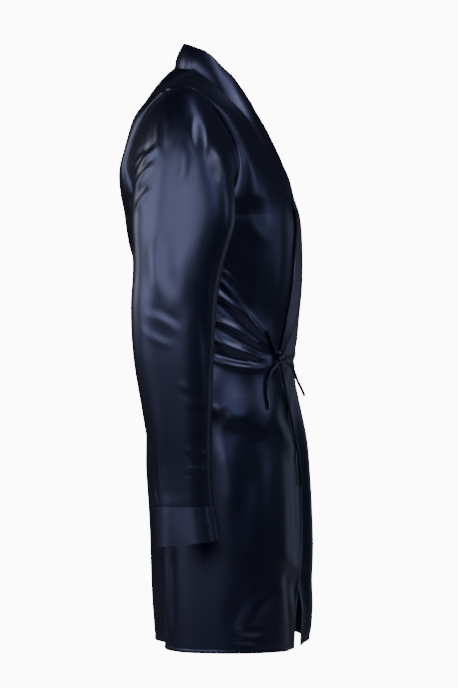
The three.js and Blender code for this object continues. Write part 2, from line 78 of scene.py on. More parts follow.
class Table:
    """Named columns read with smooth interpolation at fractional rows."""

    def __init__(self, columns: str, rows: list[tuple[float, ...]]) -> None:
        """Store the columns.

        Args:
            columns: the column names, separated by spaces.
            rows: one tuple per row, in the order of the names.
        """
        data = np.array(rows, dtype=float)
        self.rows = len(rows)
        self.columns = {name: data[:, i] for i, name in enumerate(columns.split())}

    def at(self, name: str, row: np.ndarray) -> np.ndarray:
        """Return a column at fractional rows, through a smooth cubic.

        Args:
            name: the column.
            row: fractional row numbers.

        Returns:
            The interpolated values.
        """
        values = self.columns[name]
        slopes = np.gradient(values)
        i = np.clip(np.floor(row).astype(int), 0, self.rows - 2)
        f = row - i
        f2, f3 = f * f, f * f * f
        return (
            (2 * f3 - 3 * f2 + 1) * values[i]
            + (f3 - 2 * f2 + f) * slopes[i]
            + (3 * f2 - 2 * f3) * values[i + 1]
            + (f3 - f2) * slopes[i + 1]
        )

    def row_of(self, name: str, value: np.ndarray) -> np.ndarray:
        """Return the fractional row at which a rising column has a value.

        Args:
            name: a column whose values rise.
            value: the values looked for.

        Returns:
            Fractional row numbers, held inside the table.
        """
        return np.interp(value, self.columns[name], np.arange(self.rows))


LEVELS = Table(
    "zc front back x yf yb zs square",
    [
        (-790, -122, 66, 168, -26, -26, -776, 2.3),
        (-732, -125, 70, 168, -26, -26, -725, 2.3),
        (-668, -129, 73, 167, -26, -26, -664, 2.3),
        (-596, -127, 75, 165, -25, -25, -594, 2.3),
        (-518, -123, 77, 161, -22, -22, -518, 2.2),
        (-450, -120, 77, 153, -18, -18, -450, 2.1),
        (-396, -120, 76, 147, -14, -14, -396, 2.05),
        (-350, -123, 78, 147, -11, -11, -350, 2.1),
        (-300, -127, 84, 151, -6, -6, -300, 2.2),
        (-250, -127, 95, 158, 0, 0, -252, 2.3),
        (-205, -124, 103, 163, 6, 6, -212, 2.4),
        (-172, -114, 105, 154, -46, 58, -186, 2.5),
        (-140, -102, 102, 150, -64, 79, -152, 2.5),
        (-106, -87, 94, 151, -60, 73, -118, 2.4),
        (-72, -69, 86, 163, -42, 52, -83, 2.2),
        (-36, -41, 71, 182, -25, 28, -60.5, 2.0),
        (-14, -19, 57, 191, -14, 16, -52.6, 2.0),
        (8, 3, 40, 197, 0, 0, -50, 2.0),
    ],
)
TOP = LEVELS.rows - 1
SHOULDER_X, SHOULDER_Z = 197.0, -50.0

EDGES = Table(
    "z right_seam right_fold left_seam left_fold",
    [
        (-790, -4, -4, 16, 16),
        (-740, -1, -1, 13, 13),
        (-700, 3, 3, 9, 9),
        (-664, 13, 13, -1, -1),
        (-600, 19, 19, -8, -8),
        (-530, 19, 19, -16, -16),
        (-505, 6, 6, -26, -26),
        (-476, -24, -24, -48, -48),
        (-430, -57, -57, -69, -69),
        (-404, -72, -72, -69.5, -69.5),
        (-396, -76, -75, -68, -70),
        (-388, -74, -70, -58, -69.5),
        (-350, -62, -30, -16, -57),
        (-300, -44, -2, 2, -45),
        (-260, -33, 9, 6, -38),
        (-225, -27, 14, 17, -25),
        (-180, -37, 2, 37, -2),
        (-156, -50, -11, 50, 11),
        (-118, -65, -26, 65, 26),
        (-86, -72, -34, 72, 34),
        (-46, -78, -40, 78, 40),
        (-12, -72, -40, 72, 40),
    ],
)

STAND = Table(
    "z x right left up",
    [
        (-205, -10, -122, -126, 4),
        (-180, -3, -119, -119, 13),
        (-157, 14, -110, -105, 18),
        (-118, 30, -89, -80, 27),
        (-86, 41, -69, -59, 32),
        (-75, 44, -61, -52, 33),
        (-58, 51, -46, -36, 38),
        (-46, 55, -33, -27, 38),
        (-33, 59, -20, -16, 39),
        (-21, 61, -9, -8, 35),
        (-12, 62, 2, 2, 30),
    ],
)
STAND_X, STAND_Y, STAND_RISE = 62.0, 2.0, 30.0
STAND_BACK_Y, STAND_BACK_Z = 28.0, 29.0

SLEEVE = Table(
    "z front back inner outer",
    [
        (-236, -68, 58, -174, -270),
        (-285, -55, 56, -176, -274),
        (-335, -48, 58, -177, -276),
        (-398, -45, 54, -179, -276),
        (-480, -43, 40, -182, -273),
        (-530, -43, 31, -184, -270),
        (-580, -45, 29, -185, -268),
    ],
)
CUFF_HEM = {"front": -53.0, "back": 28.0, "inner": -185.0, "outer": -271.0}
SLEEVE_SQUARE = 2.6  # how squared the sleeve's section is; 2 is an ellipse


def smooth(low: float, high: float, value: np.ndarray) -> np.ndarray:
    """Return 0 below low, 1 above high and a smooth step between.

    Args:
        low: where the step begins.
        high: where it ends.
        value: the values to step.

    Returns:
        The stepped values.
    """
    t = np.clip((value - low) / (high - low), 0, 1)
    return t * t * (3 - 2 * t)


def fading(share: np.ndarray, first: float, last: float) -> np.ndarray:
    """Return 1 along the middle of a way, fading smoothly to 0 at its ends.

    Args:
        share: shares of the way, 0 to 1.
        first: the share over which it rises.
        last: the share over which it falls again.

    Returns:
        The values.
    """
    return smooth(0, first, share) * smooth(0, last, 1 - share)


def beside_line(
    start: tuple[float, float], end: tuple[float, float], a: np.ndarray, b: np.ndarray
) -> tuple[np.ndarray, np.ndarray]:
    """Return how far points are along a line, and how far beside it.

    Args:
        start: the line's start.
        end: its end.
        a: the points' first coordinate.
        b: their second coordinate.

    Returns:
        The shares of the way along, and the distances beside the line.
    """
    da, db = end[0] - start[0], end[1] - start[1]
    length = math.hypot(da, db)
    along = ((a - start[0]) * da + (b - start[1]) * db) / length**2
    return along, ((a - start[0]) * db - (b - start[1]) * da) / length


@dataclass(frozen=True)
class Fold:
    """A long fold in the body's form, along a line in x and z."""

    x0: float
    z0: float
    x1: float
    z1: float
    height: float
    width: float

    def lift(self, x: np.ndarray, z: np.ndarray) -> np.ndarray:
        """Return how far the fold lifts the cloth.

        Args:
            x: positions across the body.
            z: heights.

        Returns:
            The lift, in millimetres.
        """
        along, across = beside_line((self.x0, self.z0), (self.x1, self.z1), x, z)
        fade = smooth(-0.12, 0.15, along) * (1 - smooth(0.7, 1.12, along))
        return self.height * fade * np.exp(-((across / self.width) ** 2))


FRONT_FOLDS = (
    Fold(-74, -388, -150, -318, 3.2, 13),
    Fold(-76, -394, -152, -362, -3.0, 12),
    Fold(-78, -402, -150, -398, 3.4, 13),
    Fold(-34, -400, 130, -372, -2.6, 12),
    Fold(-30, -410, 132, -402, 2.6, 13),
    Fold(76, -820, 60, -410, 21, 38),
    Fold(-70, -690, -22, -800, -3.5, 12),
)
BACK_FOLDS = (
    Fold(-140, -152, 140, -156, 1.4, 18),
    Fold(-88, -830, -96, -570, -26, 34),
    Fold(96, -810, 104, -620, -6, 18),
    Fold(-130, -392, 130, -390, -1.4, 24),
)


@dataclass(frozen=True)
class Crease:
    """A crease seen from the side: a soft ridge with a trough along one flank, on a bent line."""

    y0: float
    z0: float
    y1: float
    z1: float
    height: float
    width: float
    bend: float = 0.0
    flank: float = 0.6
    taper: float = 0.35

    def lift(self, y: np.ndarray, z: np.ndarray) -> np.ndarray:
        """Return how far the crease lifts the cloth.

        Args:
            y: positions from front to back.
            z: heights.

        Returns:
            The lift, in millimetres.
        """
        along, across = beside_line((self.y0, self.z0), (self.y1, self.z1), y, z)
        across = across - self.bend * 4 * along * (1 - along)
        fade = smooth(-0.05, self.taper, along) * (1 - smooth(1 - self.taper, 1.05, along))
        ridge = np.exp(-((across / self.width) ** 2))
        trough = np.exp(-(((across - 1.7 * self.width) / self.width) ** 2))
        return self.height * fade * (ridge - self.flank * trough)


class Ripple:
    """Gentle unevenness of hanging cloth: a few slanting waves with seeded phases."""

    def __init__(self, seed: int, count: int = 14, shortest: float = 38, longest: float = 150) -> None:
        """Choose the waves.

        Args:
            seed: the seed of their phases and directions.
            count: how many waves.
            shortest: the shortest wavelength, in millimetres.
            longest: the longest one.
        """
        rng = np.random.default_rng(seed)
        self.lengths = np.geomspace(shortest, longest, count)
        self.angles = rng.normal(0.0, 0.5, count)
        self.phases = rng.uniform(0, 2 * math.pi, (count, 3))

    def lift(self, a: np.ndarray, b: np.ndarray) -> np.ndarray:
        """Return the unevenness, about one unit high.

        Args:
            a: positions across the hang of the cloth.
            b: positions along it.

        Returns:
            The lift.
        """
        total = np.zeros(np.broadcast(a, b).shape)
        for length, angle, phase in zip(self.lengths, self.angles, self.phases):
            k = 2 * math.pi / length
            across = a * math.cos(angle) + b * math.sin(angle) * 0.35
            sway = 1.3 * np.sin(b * k * 0.31 + phase[1]) + 0.8 * np.sin(a * k * 0.23 + phase[2])
            total += (length / self.lengths[-1]) ** 0.8 * np.sin(across * k + phase[0] + sway)
        return total / 2.2


@dataclass(frozen=True)
class BodyForm:
    """The shape of the body of the robe, shared by its back and fronts."""

    drop_power: float = 1.2
    settle: float = 3.2  # levels under the top over which the cloth settles onto its seam
    settle_power: float = 8.0
    lap_change: tuple[float, float] = (-403.0, -390.0)
    lap_fade: tuple[float, float] = (34.0, 96.0)
    lap_hem: tuple[float, float] = (-745.0, -690.0)
    hem_gap: float = 5.0
    level_height: float = 60.0  # about how high one level is, for finding a level by its height

    def point(self, front: bool, level: np.ndarray, x: np.ndarray) -> np.ndarray:
        """Return points of the cloth's outer face.

        Args:
            front: whether on the front or the back.
            level: fractional rows of the level table.
            x: positions across.

        Returns:
            An array of points, in millimetres.
        """
        half = LEVELS.at("x", level)
        u = np.minimum(np.abs(x) / half, 1)
        square = LEVELS.at("square", level)
        bow = np.maximum(1 - u**square, 0) ** (1 / square)
        seam = (LEVELS.at("yf", level) + LEVELS.at("yb", level)) / 2
        opened = LEVELS.at("yf" if front else "yb", level)
        side = np.where(level > ARMPIT_LEVEL, opened, seam)
        zc, zs = LEVELS.at("zc", level), LEVELS.at("zs", level)
        if not front:
            zc = np.maximum(zc, zs)
        z = zc + (zs - zc) * u**self.drop_power
        sign = -1 if front else 1
        folds = FRONT_FOLDS if front else BACK_FOLDS
        lift = sum(fold.lift(x, z) for fold in folds)
        y = side + (LEVELS.at("front" if front else "back", level) - side) * bow
        y = y + sign * lift * bow
        return np.stack(np.broadcast_arrays(x, y, z), axis=-1)

    def shoulder(self, x: np.ndarray) -> np.ndarray:
        """Return points of the shoulder seam, at positions across.

        Args:
            x: positions across.

        Returns:
            An array of points.
        """
        s = (np.abs(x) - NECK_X) / (SHOULDER_X - NECK_X)
        return np.stack([x, NECK_Y * (1 - s), NECK_Z + (SHOULDER_Z - NECK_Z) * s], axis=-1)

    def back_top(self, x: np.ndarray) -> np.ndarray:
        """Return points of the shoulder seams and back neckline, at positions across.

        Args:
            x: positions across.

        Returns:
            An array of points.
        """
        s = np.minimum(np.abs(x) / NECK_X, 1)
        y = NECK_Y + (NECK_BACK_Y - NECK_Y) * np.sqrt(1 - s * s)
        z = NECK_BACK_Z + (NECK_Z - NECK_BACK_Z) * s * s
        neck = np.stack([x, y, z], axis=-1)
        return np.where((np.abs(x) > NECK_X)[..., None], self.shoulder(x), neck)

    def on_seam(self, level: np.ndarray, u: np.ndarray) -> np.ndarray:
        """Return how far the cloth has settled onto the seam at its top, 0 to 1.

        Args:
            level: fractional rows of the level table.
            u: positions across, as shares of the half width.

        Returns:
            The shares.
        """
        inside = np.where(level >= TOP, 1, 1 - np.minimum(u, 1) ** self.settle_power)
        return smooth(TOP - self.settle, TOP, level) * inside

    def lap(self, x: np.ndarray, z: np.ndarray) -> np.ndarray:
        """Return how far the left front lies outside the right one, negative where inside.

        Args:
            x: positions across.
            z: heights.

        Returns:
            The distance, in millimetres.
        """
        above = smooth(*self.lap_change, z)
        near = 1 - smooth(*self.lap_fade, x)
        hem = 1 - smooth(*self.lap_hem, z)
        return near * (LAP * above - LAP * (1 - above) * (1 - hem) + self.hem_gap * hem)

    def front_point(self, side: Side, level: np.ndarray, x: np.ndarray) -> np.ndarray:
        """Return points of one front, settled onto the shoulder seam and lapped.

        Args:
            side: which front.
            level: fractional rows of the level table.
            x: positions across.

        Returns:
            An array of points.
        """
        points = self.point(True, level, x)
        share = self.on_seam(level, np.abs(points[..., 0]) / LEVELS.at("x", level))
        points += (self.shoulder(points[..., 0]) - points) * share[..., None]
        if side is Side.LEFT:
            points[..., 1] -= self.lap(points[..., 0], points[..., 2])
        return points

    def edge(self, side: Side, kind: str, level: np.ndarray) -> np.ndarray:
        """Return the x of a front's edge at each level.

        Args:
            side: which front.
            kind: "seam" for the sewn or turned edge, "fold" for the free edge of its band.
            level: fractional rows of the level table.

        Returns:
            Positions across.
        """
        key = f"{side.name.lower()}_{kind}"
        x = EDGES.at(key, EDGES.row_of("z", LEVELS.at("zc", level)))
        for _ in range(3):
            x = EDGES.at(key, EDGES.row_of("z", self.front_point(side, level, x)[..., 2]))
        return np.where((level >= TOP) & (kind == "seam"), side.value * NECK_X, x)

    def level_at(self, x: float, z: float) -> float:
        """Return the level at which the front's cloth has a height.

        Args:
            x: position across.
            z: the height.

        Returns:
            The fractional level.
        """
        level = np.array(LEVELS.row_of("zc", z), dtype=float)
        for _ in range(8):
            level = level + (z - self.point(True, level, np.array(x))[..., 2]) / self.level_height
        return float(level)

    def off_front(self, x: float, z: float, off: float) -> np.ndarray:
        """Return a point that stands off the front's cloth.

        Args:
            x: position across.
            z: height.
            off: the distance in front of the outermost front.

        Returns:
            One point.
        """
        level, at = np.array(self.level_at(x, z)), np.array(x)
        side = Side.LEFT if x > -60 else Side.RIGHT
        y = min(self.front_point(side, level, at)[1], self.point(True, level, at)[1])
        return np.array([x, y - off, z])


FORM = BodyForm()


Wire = tuple[bpy.types.Node, str | int, bpy.types.Node, str | int]


def link_nodes(tree: bpy.types.NodeTree, *wires: Wire) -> None:
    """Link nodes of a tree.

    Args:
        tree: the node tree.
        wires: each the source node and output, then the target node and input.
    """
    for source, output, target, entry in wires:
        tree.links.new(source.outputs[output], target.inputs[entry])


def set_inputs(node: bpy.types.Node, values: dict[str | int, object]) -> None:
    """Set inputs of a node.

    Args:
        node: the node.
        values: values by the input's name or number.
    """
    for name, value in values.items():
        node.inputs[name].default_value = value


@dataclass(frozen=True)
class SatinFinish:
    """Silk satin: a dark, slightly blue cloth with a broad soft sheen."""

    name: str = "silk_satin"
    colour: tuple[float, float, float] = (0.0028, 0.0032, 0.0088)
    sheen: tuple[float, float, float] = (0.50, 0.54, 1.0)
    roughness: float = 0.35
    gloss: float = 0.72
    haze: float = 0.01
    patch_scale: float = 9.0
    patch_lift: float = 1.25
    weave_scale: float = 260.0
    weave_depth: float = 0.0008

    def material(self) -> bpy.types.Material:
        """Build the material.

        Returns:
            The material.
        """
        mat = bpy.data.materials.new(self.name)
        mat.use_nodes = True
        nodes = mat.node_tree.nodes
        shader = nodes["Principled BSDF"]
        set_inputs(shader, {
            "Roughness": self.roughness, "Specular IOR Level": self.gloss,
            "Specular Tint": (*self.sheen, 1), "Sheen Tint": (*self.sheen, 1), "Sheen Weight": self.haze,
        })
        place = nodes.new("ShaderNodeTexCoord")
        patches, weave = nodes.new("ShaderNodeTexNoise"), nodes.new("ShaderNodeTexNoise")
        set_inputs(patches, {"Scale": self.patch_scale, "Detail": 3})
        set_inputs(weave, {"Scale": self.weave_scale, "Detail": 4})
        tone, bump = nodes.new("ShaderNodeMix"), nodes.new("ShaderNodeBump")
        tone.data_type = "RGBA"
        lighter = tuple(c * self.patch_lift for c in self.colour)
        set_inputs(tone, {6: (*self.colour, 1), 7: (*lighter, 1)})
        set_inputs(bump, {"Strength": 0.05, "Distance": self.weave_depth})
        link_nodes(
            mat.node_tree,
            (place, "Object", patches, "Vector"),
            (patches, "Fac", tone, 0),
            (tone, 2, shader, "Base Color"),
            (place, "Object", weave, "Vector"),
            (weave, "Fac", bump, "Height"),
            (bump, "Normal", shader, "Normal"),
        )
        return mat


@dataclass(frozen=True)
class PlainFinish:
    """A matt surface of one colour."""

    name: str
    colour: tuple[float, float, float]
    roughness: float = 0.6
    gloss: float = 0.2

    def material(self) -> bpy.types.Material:
        """Build the material.

        Returns:
            The material.
        """
        mat = bpy.data.materials.new(self.name)
        mat.use_nodes = True
        set_inputs(mat.node_tree.nodes["Principled BSDF"], {
            "Base Color": (*self.colour, 1), "Roughness": self.roughness,
            "Specular IOR Level": self.gloss,
        })
        return mat


def linked(name: str, data: bpy.types.ID) -> bpy.types.Object:
    """Return a new object, linked to the scene.

    Args:
        name: the object's name.
        data: its mesh, lamp or camera.

    Returns:
        The object.
    """
    obj = bpy.data.objects.new(name, data)
    bpy.context.scene.collection.objects.link(obj)
    return obj


def mesh_object(
    name: str, points: np.ndarray, faces: list[list[int]], smooth_angle: float = 50
) -> bpy.types.Object:
    """Make a mesh object in metres, faces outward and smooth.

    Args:
        name: the object's name.
        points: its points, in millimetres.
        faces: lists of point numbers.
        smooth_angle: the edge angle above which shading is sharp, in degrees.

    Returns:
        The linked object.
    """
    mesh = bpy.data.meshes.new(name)
    mesh.from_pydata((points * MM).tolist(), [], faces)
    mesh.validate()
    work = bmesh.new()
    work.from_mesh(mesh)
    bmesh.ops.recalc_face_normals(work, faces=work.faces)
    work.to_mesh(mesh)
    work.free()
    mesh.shade_smooth()
    mesh.set_sharp_from_angle(angle=math.radians(smooth_angle))
    return linked(name, mesh)


def ringed_object(
    name: str, rings: np.ndarray, ends: np.ndarray, smooth_angle: float
) -> bpy.types.Object:
    """Make a mesh object of closed rings, with a point that closes either end.

    Args:
        name: the object's name.
        rings: points by ring and position round it, in millimetres.
        ends: the two closing points.
        smooth_angle: the edge angle above which shading is sharp, in degrees.

    Returns:
        The linked object.
    """
    count = rings.shape[0] * rings.shape[1]
    ids = np.arange(count).reshape(rings.shape[:2])
    ids = np.concatenate([ids, ids[:, :1]], axis=1)
    quads = np.stack([ids[:-1, :-1], ids[:-1, 1:], ids[1:, 1:], ids[1:, :-1]], -1).reshape(-1, 4)
    faces = quads.tolist()
    faces += [[b, a, count] for a, b in zip(ids[0, :-1].tolist(), ids[0, 1:].tolist())]
    faces += [[a, b, count + 1] for a, b in zip(ids[-1, :-1].tolist(), ids[-1, 1:].tolist())]
    return mesh_object(name, np.concatenate([rings.reshape(-1, 3), ends]), faces, smooth_angle)


class Shell:
    """A thin wall of cloth on a grid of points, open at its edges or closed round."""

    def __init__(self, grid: np.ndarray, closed: bool = False) -> None:
        """Work out the grid's outward normals.

        Args:
            grid: points of the outer face by row and column.
            closed: whether the last column meets the first.
        """
        self.grid, self.closed, self.sign = grid, closed, 1
        self.normals = self.normals_of(grid)

    def normals_of(self, grid: np.ndarray) -> np.ndarray:
        """Return unit normals of a grid of points.

        Args:
            grid: points by row and column.

        Returns:
            The normals, pointing to the cloth's outer side.
        """
        up = np.gradient(grid, axis=0)
        if self.closed:
            along = np.roll(grid, -1, axis=1) - np.roll(grid, 1, axis=1)
        else:
            along = np.gradient(grid, axis=1)
        normals = np.cross(along, up)
        normals /= np.maximum(np.linalg.norm(normals, axis=-1, keepdims=True), 1e-9)
        return normals

    def orient(self, outward: np.ndarray) -> None:
        """Turn the normals so that they point to the outer side.

        Args:
            outward: directions that point out at every grid point.
        """
        if (self.normals * outward).sum() < 0:
            self.normals, self.sign = -self.normals, -1

    def displace(self, lift: np.ndarray) -> None:
        """Move the outer face along its normals.

        Args:
            lift: the distance at every grid point, in millimetres.
        """
        self.grid = self.grid + self.normals * lift[..., None]
        self.normals = self.sign * self.normals_of(self.grid)

    def line(self, rows: np.ndarray, cols: np.ndarray, off: float = 0.12) -> np.ndarray:
        """Return points just off the outer face, at fractional rows and columns.

        Args:
            rows: fractional rows.
            cols: fractional columns.
            off: the distance off the face.

        Returns:
            The points.
        """
        rows, cols = np.broadcast_arrays(*(np.asarray(value, dtype=float) for value in (rows, cols)))
        i = np.clip(rows.astype(int), 0, self.grid.shape[0] - 2)
        j = np.clip(cols.astype(int), 0, self.grid.shape[1] - 2)
        a, b = (rows - i)[:, None], (cols - j)[:, None]
        face = self.grid + self.normals * off
        return (
            face[i, j] * (1 - a) * (1 - b) + face[i + 1, j] * a * (1 - b)
            + face[i, j + 1] * (1 - a) * b + face[i + 1, j + 1] * a * b
        )

    def hem_line(self, above: float, reach: int = 30) -> np.ndarray:
        """Return a line that runs at one height above the hem.

        Args:
            above: the height, in millimetres.
            reach: how many rows near the hem are looked through.

        Returns:
            The points.
        """
        height = self.grid[:reach, :, 2] - self.grid[0, :, 2]
        cols = np.arange(self.grid.shape[1])
        rows = np.array([np.interp(above, height[:, j], np.arange(reach)) for j in cols])
        return self.line(rows, cols)

    def mesh(self, name: str, thick: float) -> bpy.types.Object:
        """Build the wall.

        Args:
            name: the object's name.
            thick: the wall, in millimetres.

        Returns:
            The object.
        """
        rows, cols = self.grid.shape[:2]
        inner = self.grid - self.normals * thick
        points = np.concatenate([self.grid.reshape(-1, 3), inner.reshape(-1, 3)])
        ids = np.arange(rows * cols).reshape(rows, cols)
        if self.closed:
            ids = np.concatenate([ids, ids[:, :1]], axis=1)
        far = ids + rows * cols
        quads = [
            np.stack([ids[:-1, :-1], ids[:-1, 1:], ids[1:, 1:], ids[1:, :-1]], -1),
            np.stack([far[:-1, :-1], far[1:, :-1], far[1:, 1:], far[:-1, 1:]], -1),
            np.stack([ids[0, :-1], far[0, :-1], far[0, 1:], ids[0, 1:]], -1),
            np.stack([ids[-1, :-1], ids[-1, 1:], far[-1, 1:], far[-1, :-1]], -1),
        ]
        if not self.closed:
            quads += [
                np.stack([ids[:-1, 0], ids[1:, 0], far[1:, 0], far[:-1, 0]], -1),
                np.stack([ids[:-1, -1], far[:-1, -1], far[1:, -1], ids[1:, -1]], -1),
            ]
        return mesh_object(name, points, np.concatenate([q.reshape(-1, 4) for q in quads]).tolist())


@dataclass
class Piece:
    kind: ClassVar[str] = ""
    obj: bpy.types.Object | None = field(default=None, init=False)
    seams: list[np.ndarray] = field(default_factory=list, init=False)

    @property
    def name(self) -> str:
        """Return the name of the piece and of the node it stands for."""
        return self.kind

    def build(self) -> None:
        """Build the piece's mesh."""
        raise NotImplementedError

    def dress(self, finish: bpy.types.Material) -> None:
        """Give the piece its finish and its place in the frame.

        Args:
            finish: the cloth's material.
        """
        self.obj.data.materials.append(finish)
        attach(self.obj, "root")
        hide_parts(self.name)

    def declare(self) -> None:
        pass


@dataclass
class SidedPiece(Piece):
    """A piece that comes as a right and a left one."""

    side: Side

    @property
    def name(self) -> str:
        """Return the name of the piece and of the node it stands for."""
        return f"{self.kind}_{self.side.name.lower()}"


def groove(distance: np.ndarray, at: float, depth: float = 0.45, width: float = 1.1) -> np.ndarray:
    """Return the dip of the cloth along a line of stitching.

    Args:
        distance: distances from the cloth's edge.
        at: the stitching's distance from the edge.
        depth: the dip's depth.
        width: its half width.

    Returns:
        The lift, negative in the dip.
    """
    return -depth * np.exp(-(((distance - at) / width) ** 2))


def turned_relief(distance: np.ndarray, stitch: float, fullness: float) -> np.ndarray:
    """Return the relief of a turned hem or edge: its fullness and the dip at its stitching.

    Args:
        distance: distances from the edge.
        stitch: the stitching's distance from the edge.
        fullness: how far the turned cloth stands out.

    Returns:
        The lift.
    """
    return groove(distance, stitch) + fullness * (1 - smooth(stitch, stitch + 1.5, distance))


def hem_relief(grid: np.ndarray) -> np.ndarray:
    """Return the relief of a panel's turned hem.

    Args:
        grid: points of the panel, its hem in the first row.

    Returns:
        The lift.
    """
    return turned_relief(grid[..., 2] - grid[0, :, 2][None, :], HEM_STITCH, 0.35)


def total_lift(creases: tuple[Crease, ...], y: np.ndarray, z: np.ndarray) -> np.ndarray:
    """Return how far a set of creases lifts the cloth.

    Args:
        creases: the creases.
        y: positions from front to back.
        z: heights.

    Returns:
        The lift, in millimetres.
    """
    return sum((crease.lift(y, z) for crease in creases), np.zeros_like(y))


def level_rows(fine: int) -> np.ndarray:
    """Return levels from hem to shoulder, finer at the hem.

    Args:
        fine: rows per level of the table.

    Returns:
        The fractional levels.
    """
    hem_top, hem_rows = 0.25, 17
    hem = np.linspace(0, hem_top, hem_rows)
    return np.concatenate([hem, np.linspace(hem_top, TOP, TOP * fine + 1)[1:]])


RIGHT_CREASES = (
    # the waist, fanning out from the knot
    Crease(-104, -385, -24, -304, 4.2, 5.2, bend=-7, taper=0.25),
    Crease(-103, -391, -22, -343, 4.0, 4.6, bend=-5, taper=0.25),
    Crease(-101, -397, -28, -368, 3.0, 4.0, bend=4),
    Crease(-99, -402, -28, -386, -4.0, 4.6, bend=5),
    Crease(-88, -352, -40, -283, 1.5, 4.0, bend=4),
    Crease(-42, -281, -56, -300, 1.6, 3.0, bend=3),
    Crease(-66, -328, -30, -288, 1.9, 3.6, bend=-3),
    # the chest
    Crease(-102, -252, -66, -184, 1.3, 9.0, bend=7, flank=0.3),
    # the belly's fullness and the break under it
    Crease(-112, -474, -14, -452, 4.8, 25.0, flank=0.0, taper=0.15),
    Crease(-104, -492, -74, -478, 0.8, 9.0, bend=3),
    Crease(-80, -470, -46, -468, 1.5, 9.5, bend=6),
    Crease(-50, -470, -18, -459, 1.1, 10.0, bend=-5),
    # the skirt and the hem
    Crease(-104, -468, -127, -534, 2.4, 6.0),
    Crease(-44, -496, -60, -604, 1.8, 12.0, bend=5),
    Crease(-84, -520, -78, -640, -1.8, 13.0, bend=-5),
    Crease(-110, -656, -133, -744, -3.0, 7.5, bend=4),
    Crease(-72, -762, -106, -694, 3.0, 11.0, bend=5),
    Crease(-98, -752, -62, -745, 1.5, 3.6, bend=2),
    Crease(-90, -766, -58, -760, 1.1, 3.2, bend=-2),
)
LEFT_CREASES = (
    Crease(-108, -384, -30, -318, 3.2, 5.4, bend=-6),
    Crease(-110, -392, -22, -352, 2.8, 5.2, bend=-4),
    Crease(-104, -402, -30, -380, -2.8, 5.0, bend=4),
    Crease(-86, -346, -40, -292, 2.2, 4.8, bend=4),
    Crease(-98, -252, -60, -180, 3.0, 8.5, bend=6),
    Crease(-92, -462, -52, -456, 2.6, 8.0, bend=5),
    Crease(-56, -470, -24, -464, 2.2, 8.0, bend=3),
    Crease(-52, -500, -66, -622, 1.8, 13.0, bend=6),
    Crease(-98, -640, -86, -752, -2.4, 10.0, bend=-4),
    Crease(-70, -758, -100, -700, 2.4, 11.0, bend=4),
)
BACK_CREASES = {
    Side.RIGHT: (
        Crease(31, -628, 29, -762, 3.4, 5.5, flank=0.8),
        Crease(52, -600, 56, -740, 2.2, 9.0),
        Crease(26, -402, 58, -372, 2.6, 6.0, bend=4),
        Crease(22, -330, 66, -392, -2.2, 7.0, bend=-3),
        Crease(84, -176, 96, -268, 2.4, 10.0, bend=4),
    ),
    Side.LEFT: (
        Crease(34, -616, 26, -748, 2.8, 6.5),
        Crease(58, -560, 50, -700, 2.0, 10.0),
        Crease(24, -394, 60, -366, 2.4, 6.5, bend=4),
        Crease(82, -184, 94, -282, 2.0, 10.0, bend=-4),
    ),
}
SLEEVE_CREASES = (
    # the fold in front of the elbow and the gathers of the cap
    Crease(-33, -296, -53, -458, -1.8, 5.5, bend=-3, flank=0.35, taper=0.25),
    Crease(-34, -96, -38, -148, 1.0, 4.0, bend=2),
    Crease(-22, -88, -25, -142, 0.9, 3.6, bend=-2),
    Crease(10, -84, 8, -136, 0.9, 4.2, bend=2),
    Crease(24, -92, 20, -146, 1.0, 4.0),
    # the elbow and the forearm
    Crease(40, -338, -14, -368, 0.8, 5.5, bend=4, taper=0.45),
    Crease(42, -356, -4, -382, 0.6, 5.0, bend=-4, taper=0.45),
    Crease(-29, -436, -7, -427, 0.7, 3.4, bend=2),
    Crease(-46, -517, -15, -507, 0.7, 3.8, bend=2),
    Crease(-44, -540, -16, -533, 0.8, 3.6, bend=-2),
    Crease(-44, -457, -16, -452, 0.6, 3.4),
    Crease(30, -500, 22, -628, -1.7, 3.6, bend=2, taper=0.2),
    # drag lines behind and before the armhole
    Crease(56, -174, 20, -128, 2.6, 4.6, bend=3),
    Crease(60, -160, 36, -134, 2.0, 3.8, bend=2),
    Crease(54, -189, 26, -150, 2.2, 4.2, bend=3),
    Crease(49, -214, 30, -182, 1.8, 4.4, bend=2),
    Crease(-61, -144, -44, -88, 2.6, 5.0, bend=-5),
    Crease(-64, -176, -50, -128, 1.8, 5.5, bend=-3),
    # the upper arm
    Crease(-12, -122, -8, -186, 1.2, 6.0, bend=3),
    Crease(26, -236, 12, -330, 1.8, 10.0, bend=-4),
    Crease(-4, -250, 0, -350, 1.3, 12.0, bend=4),
)


def outward(x: np.ndarray, towards: int) -> np.ndarray:
    """Return directions that point out of the body, for turning a panel's normals.

    Args:
        x: positions across.
        towards: -1 for the front and 1 for the back.

    Returns:
        The directions.
    """
    return np.stack([x * 0.4, np.full_like(x, 100.0 * towards), 0 * x], -1)


def front_creases(side: Side) -> tuple[Crease, ...]:
    """Return the creases of one front.

    Args:
        side: which front.

    Returns:
        Its creases.
    """
    return RIGHT_CREASES if side is Side.RIGHT else LEFT_CREASES


